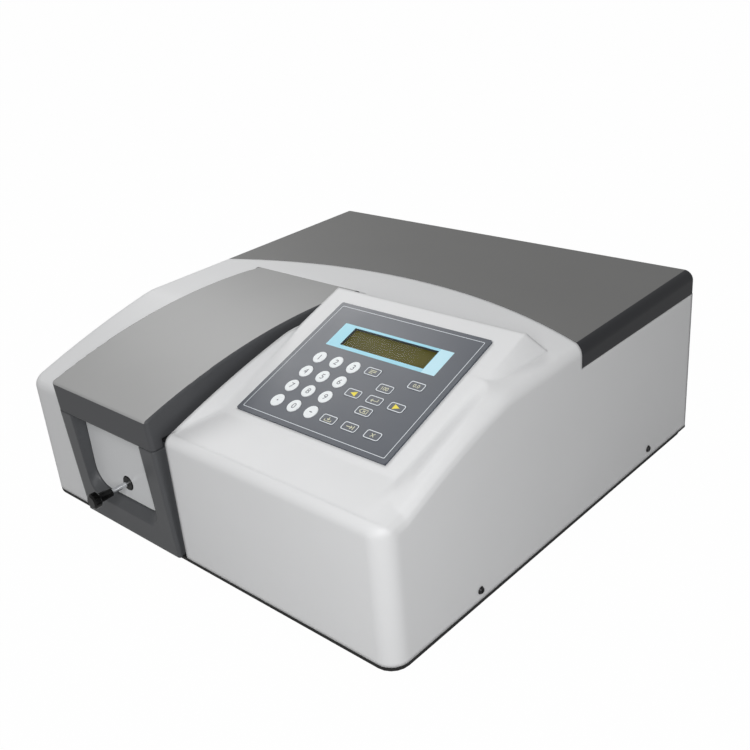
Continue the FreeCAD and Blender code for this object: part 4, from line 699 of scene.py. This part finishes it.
class INSTRUMENT_OT_keypad(bpy.types.Operator):
    """Finish the keypad film and print its keys and lines"""
    bl_idname = "instrument.keypad"
    bl_label = "Print Keypad"

    # Signs on the function keys: lines on a field 2 wide and 1 high
    SIGNS = {
        "mode": (((-0.6, 0.28), (0.6, 0.28)),
                 ((-0.6, 0.0), (0.6, 0.0)),
                 ((-0.6, -0.28), (0.1, -0.28))),
        "enter": (((0.6, 0.34), (0.6, -0.12), (-0.6, -0.12)),
                  ((-0.3, 0.14), (-0.6, -0.12), (-0.3, -0.38))),
        "delete": (((-0.75, 0.0), (-0.4, 0.34), (0.65, 0.34), (0.65, -0.34), (-0.4, -0.34),
                    (-0.75, 0.0)),
                   ((-0.1, 0.15), (0.3, -0.15)),
                   ((-0.1, -0.15), (0.3, 0.15))),
        "print": (((0.0, 0.38), (0.0, -0.14)),
                  ((-0.25, 0.08), (0.0, -0.16), (0.25, 0.08)),
                  ((-0.6, -0.1), (-0.6, -0.38), (0.6, -0.38), (0.6, -0.1))),
        "go_to": (((-0.65, 0.0), (0.4, 0.0)),
                  ((0.1, 0.28), (0.4, 0.0), (0.1, -0.28)),
                  ((0.65, 0.36), (0.65, -0.36))),
        "clear": (((-0.3, 0.3), (0.3, -0.3)),
                  ((-0.3, -0.3), (0.3, 0.3))),
    }
    FIGURES = {"zero": "0.0", "full_scale": "100"}
    ARROWS = {"wavelength_down": -1, "wavelength_up": 1}

    def execute(self, context):
        looks = context.scene.instrument_keypad
        film = self.film(looks)
        self.inks = {name: ink(f"{name}_ink", getattr(looks, name))
                     for name in ("figure", "line", "sign", "arrow")}
        self.height = looks.ink_height
        dress(film, "keypad_panel")
        dress(gloss_plastic("number_key", looks.key, 0.3), *NUMBER_KEYS, *MARK_KEYS)
        functions = [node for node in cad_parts
                     if node.startswith(KEY_PREFIX) and node not in (*NUMBER_KEYS, *MARK_KEYS)]
        dress(film, *functions)
        for node, digit in NUMBER_KEYS.items():
            figure = typed(f"figure_{digit}", digit, looks.figure_size, self.height)
            self.print_on(node, figure, "figure")
        dash = [((-DASH_REACH, 0), (DASH_REACH, 0))]
        self.print_on("key_minus", drawn_lines("figure_minus", dash, DASH_LINE, self.height),
                      "figure")
        dot = rounded_rectangle(DOT_SIZE, DOT_SIZE, DOT_ROUND)
        self.print_on("key_decimal", prism("figure_point", [dot], self.height), "figure")
        for node in functions:
            self.function_print(node)
        self.border(looks)
        return {"FINISHED"}

    @staticmethod
    def film(looks):
        """Printed polyester film: a slate ground with finger marks in its gloss."""
        finish = Finish("keypad_film")
        smear = finish.noise(28 * MM, 5.0)
        tint = finish.blend(smear, shade(looks.film, 0.9), shade(looks.film, 1.12))
        skin = finish.relief(finish.noise(1.6 * MM, 1.0), 0.004 * MM)
        return finish.done(finish.shine(tint, 0.28 + smear * 0.16, Normal=skin))

    def print_on(self, node, mesh, name):
        """Lay a print on a key, to ride with it."""
        place, _ = on_panel(node)
        place_piece(mesh.name, mesh, self.inks[name], node, place.x, place.y, place.z)

    def function_print(self, node):
        """A light outline and a sign for one function key."""
        word = node.removeprefix(KEY_PREFIX)
        _, size = on_panel(node)
        outline = [rounded_rectangle(size.x - 2 * inset, size.y - 2 * inset, corner)
                   for inset, corner in ((OUTLINE_INSET, OUTLINE_ROUND),
                                         (OUTLINE_INSET + OUTLINE_LINE, OUTLINE_INNER_ROUND))]
        self.print_on(node, prism(f"outline_{word}", outline, self.height), "line")
        name = f"sign_{word}"
        if word in self.ARROWS:
            tip = self.ARROWS[word] * ARROW_REACH
            arrow = [Vector((tip, 0)), Vector((-tip, ARROW_HALF)), Vector((-tip, -ARROW_HALF))]
            self.print_on(node, prism(name, [arrow], self.height), "arrow")
        elif word in self.FIGURES:
            sign = typed(name, self.FIGURES[word], SIGN_FIGURE_SIZE, self.height)
            self.print_on(node, sign, "sign")
        else:
            scale = size.x * SIGN_SHARE
            paths = [[(across * scale, along * scale) for across, along in path]
                     for path in self.SIGNS[word]]
            self.print_on(node, drawn_lines(name, paths, SIGN_LINE, self.height), "sign")

    def border(self, looks):
        """The thin light line just inside the film's edge."""
        centre, size = on_panel("keypad_panel")
        inset = looks.border_inset
        loops = []
        for step in (inset, inset + looks.line_width):
            loops.append(rounded_rectangle(size.x - 2 * step, size.y - 2 * step,
                                           FILM_BORDER_ROUND))
        mesh = prism("film_border", loops, self.height)
        place_piece("film_border", mesh, self.inks["line"], CHASSIS,
                    centre.x, centre.y, centre.z)


class INSTRUMENT_OT_display(bpy.types.Operator):
    """Finish the display, its clear pane and the border printed round it"""
    bl_idname = "instrument.display"
    bl_label = "Finish Display"

    def execute(self, context):
        looks = context.scene.instrument_keypad
        dress(coated_metal("display_can", (0.05, 0.05, 0.052), 0.4, 0.8), "lcd_module")
        dress(self.pane(), "lcd_window")
        centre, size = on_panel("lcd_window")
        self.border(looks, centre, size)
        self.liquid_crystal(looks, centre, size)
        return {"FINISHED"}

    @staticmethod
    def pane():
        """Clear acrylic with wipe marks."""
        finish = Finish("clear_pane")
        wipe = finish.noise(12 * MM, 4.0, (1, 0.3, 1))
        return finish.done(finish.shine((0.05, 0.055, 0.05), 0.05 + wipe * 0.06, Alpha=0.08,
                                        Specular_IOR_Level=0.25))

    @staticmethod
    def border(looks, centre, size):
        """Pale blue ends with lighter long sides, printed on the film."""
        finish = Finish("display_border_ink")
        across = finish.axis("X")
        middle = (PANEL @ centre).x
        end = size.x / 2 - BLUE_END_INSET
        ends = (across < middle - end) + (across > middle + end)
        cloud = finish.noise(30 * MM, 2.0)
        tint = finish.blend(ends, looks.bezel_light, looks.bezel)
        shown = finish.blend(cloud * 0.25, tint, (0.75, 0.90, 0.95))
        material = finish.done(finish.shine(shown, 0.34))
        outer = rounded_rectangle(size.x + DISPLAY_LEFT + DISPLAY_RIGHT,
                                  size.y + DISPLAY_BELOW + DISPLAY_ABOVE, DISPLAY_ROUND)
        outer = shifted(outer, (DISPLAY_RIGHT - DISPLAY_LEFT) / 2,
                        (DISPLAY_ABOVE - DISPLAY_BELOW) / 2)
        inner = rounded_rectangle(size.x + WINDOW_GAP, size.y + WINDOW_GAP, WINDOW_ROUND)
        mesh = prism("display_border", [outer, inner], looks.ink_height)
        place_piece("display_border", mesh, material, CHASSIS, centre.x, centre.y)

    @staticmethod
    def liquid_crystal(looks, centre, size):
        """The unlit display, with its character cells just visible."""
        finish = Finish("liquid_crystal")
        cells = finish.node("ShaderNodeTexBrick", {"offset": 0.0},
                            {"Vector": finish.place, "Scale": 1.0, "Mortar Size": CELL_GAP,
                             "Brick Width": size.x / CELL_COLUMNS,
                             "Row Height": size.y / CELL_ROWS, "Mortar Smooth": 0.2})
        cloud = finish.noise(22 * MM, 3.0)
        ground = finish.blend(cloud, shade(looks.glass, 0.72), shade(looks.glass, 1.3))
        tint = finish.blend(Field(finish, cells.outputs["Fac"]) * 0.18, ground,
                            shade(looks.glass, 0.8))
        material = finish.done(finish.shine(tint, 0.5, Specular_IOR_Level=0.1))
        outline = rounded_rectangle(size.x + CRYSTAL_MARGIN, size.y + CRYSTAL_MARGIN,
                                    CRYSTAL_ROUND)
        mesh = prism("liquid_crystal", [outline], CRYSTAL_THICKNESS)
        place_piece("liquid_crystal", mesh, material, CHASSIS,
                    centre.x, centre.y, -CRYSTAL_DEPTH)


class INSTRUMENT_OT_stage(bpy.types.Operator):
    """Set the floor, lamps, surroundings and camera"""
    bl_idname = "instrument.stage"
    bl_label = "Set Stage"

    def execute(self, context):
        studio = context.scene.instrument_studio
        self.lay_floor(studio)
        self.surroundings(context.scene, studio)
        for side, (place, aim, size) in LAMPS.items():
            self.lamp(f"{side}_lamp", place, aim, size, getattr(studio, f"{side}_power"))
        self.camera(context.scene, studio)
        context.scene.view_settings.view_transform = "Standard"
        return {"FINISHED"}

    @staticmethod
    def white_rays(finish):
        """1 for rays that meet plain white: the camera's, glass's and a share of gloss's."""
        path = finish.node("ShaderNodeLightPath")
        camera, gloss, glass = [Field(finish, path.outputs[f"Is {name} Ray"])
                                for name in ("Camera", "Glossy", "Transmission")]
        return glass.made("ADD", camera + gloss * GLOSS_WHITE, glass, clamp=True)

    def lay_floor(self, studio):
        """A plain pale floor that keeps the instrument's shadow."""
        sheet = rounded_rectangle(FLOOR_SPAN, FLOOR_SPAN, FLOOR_ROUND)
        mesh = prism("floor", [sheet], FLOOR_THICKNESS)
        mesh.transform(Matrix.Translation((0, 0, -FLOOR_THICKNESS)))
        finish = Finish("floor_paper")
        grain = finish.noise(1.5 * MM, 2.0)
        tint = finish.blend(grain, shade(studio.floor, 0.985), shade(studio.floor, 1.01))
        paper = finish.shine(tint, 0.9, Specular_IOR_Level=0.0)
        white = finish.node("ShaderNodeEmission", None,
                            {"Color": (1, 1, 1, 1), "Strength": 1.0})
        both = finish.node("ShaderNodeMixShader", None,
                           {0: self.white_rays(finish) * studio.floor_white,
                            1: paper, 2: white.outputs[0]})
        mesh.materials.append(finish.done(both.outputs[0]))
        floor = bpy.data.objects.new("floor", mesh)
        bpy.context.scene.collection.objects.link(floor)

    def surroundings(self, scene, studio):
        """Even light from all round, and a white backdrop to the camera."""
        scene.world = bpy.data.worlds.new("studio")
        air = Finish("studio", scene.world)
        even, white = [air.node("ShaderNodeBackground", None,
                                {"Color": (1, 1, 1, 1), "Strength": strength})
                       for strength in (studio.fill, 1.0)]
        both = air.node("ShaderNodeMixShader", None,
                        {0: self.white_rays(air), 1: even.outputs[0], 2: white.outputs[0]})
        air.node("ShaderNodeOutputWorld", None, {"Surface": both.outputs[0]})

    @staticmethod
    def lamp(name, place, aim, size, power):
        """A round lamp at a place, turned to a point."""
        light = bpy.data.lights.new(name, "AREA")
        light.shape = "DISK"
        light.size = size
        light.energy = power
        made = bpy.data.objects.new(name, light)
        made.location = place
        made.rotation_euler = (Vector(aim) - Vector(place)).to_track_quat("-Z", "Y").to_euler()
        bpy.context.scene.collection.objects.link(made)

    @staticmethod
    def camera(scene, studio):
        """The camera at the photograph's angle."""
        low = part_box("front_housing")[0].y
        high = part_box("rear_cover")[1].y
        target = Vector(studio.target) + Vector((0, (low + high) / 2, 0))
        az, el = studio.azimuth, studio.elevation
        back = Vector((math.sin(az) * math.cos(el), -math.cos(az) * math.cos(el), math.sin(el)))
        right = Vector((math.cos(az), math.sin(az), 0))
        upright = Matrix((right, back.cross(right), back)).transposed().to_4x4()
        camera = bpy.data.objects.new("camera", bpy.data.cameras.new("camera"))
        camera.data.sensor_width = SENSOR_WIDTH
        camera.data.lens = studio.lens
        camera.matrix_world = (Matrix.Translation(target + back * studio.distance)
                               @ upright @ Matrix.Rotation(studio.roll, 4, "Z"))
        scene.collection.objects.link(camera)
        scene.camera = camera


class INSTRUMENT_PT_panel(bpy.types.Panel):
    """Lists the instrument's operators and settings"""
    bl_label = "Bench Spectrophotometer"
    bl_idname = "INSTRUMENT_PT_panel"
    bl_space_type = "VIEW_3D"
    bl_region_type = "UI"
    bl_category = "Instrument"

    def draw(self, context):
        for operator in OPERATORS:
            self.layout.operator(operator.bl_idname)
        for name in SETTINGS:
            group = getattr(context.scene, name)
            box = self.layout.box()
            for setting in group.__annotations__:
                box.prop(group, setting)


SETTINGS = {
    "instrument_shells": ShellSettings,
    "instrument_keypad": KeypadSettings,
    "instrument_studio": StudioSettings,
}
OPERATORS = (INSTRUMENT_OT_shells, INSTRUMENT_OT_changer, INSTRUMENT_OT_optics,
             INSTRUMENT_OT_keypad, INSTRUMENT_OT_display, INSTRUMENT_OT_stage)


def register():
    for group in SETTINGS.values():
        bpy.utils.register_class(group)
    for name, group in SETTINGS.items():
        setattr(bpy.types.Scene, name, bpy.props.PointerProperty(type=group))
    for made in (*OPERATORS, INSTRUMENT_PT_panel):
        bpy.utils.register_class(made)


def unregister():
    for made in reversed((*OPERATORS, INSTRUMENT_PT_panel)):
        bpy.utils.unregister_class(made)
    for name in SETTINGS:
        delattr(bpy.types.Scene, name)
    for group in SETTINGS.values():
        bpy.utils.unregister_class(group)


def main():
    """Run every operator in order."""
    register()
    bpy.ops.instrument.shells()
    bpy.ops.instrument.changer()
    bpy.ops.instrument.optics()
    bpy.ops.instrument.keypad()
    bpy.ops.instrument.display()
    bpy.ops.instrument.stage()


if __name__ == "__main__":
    main()
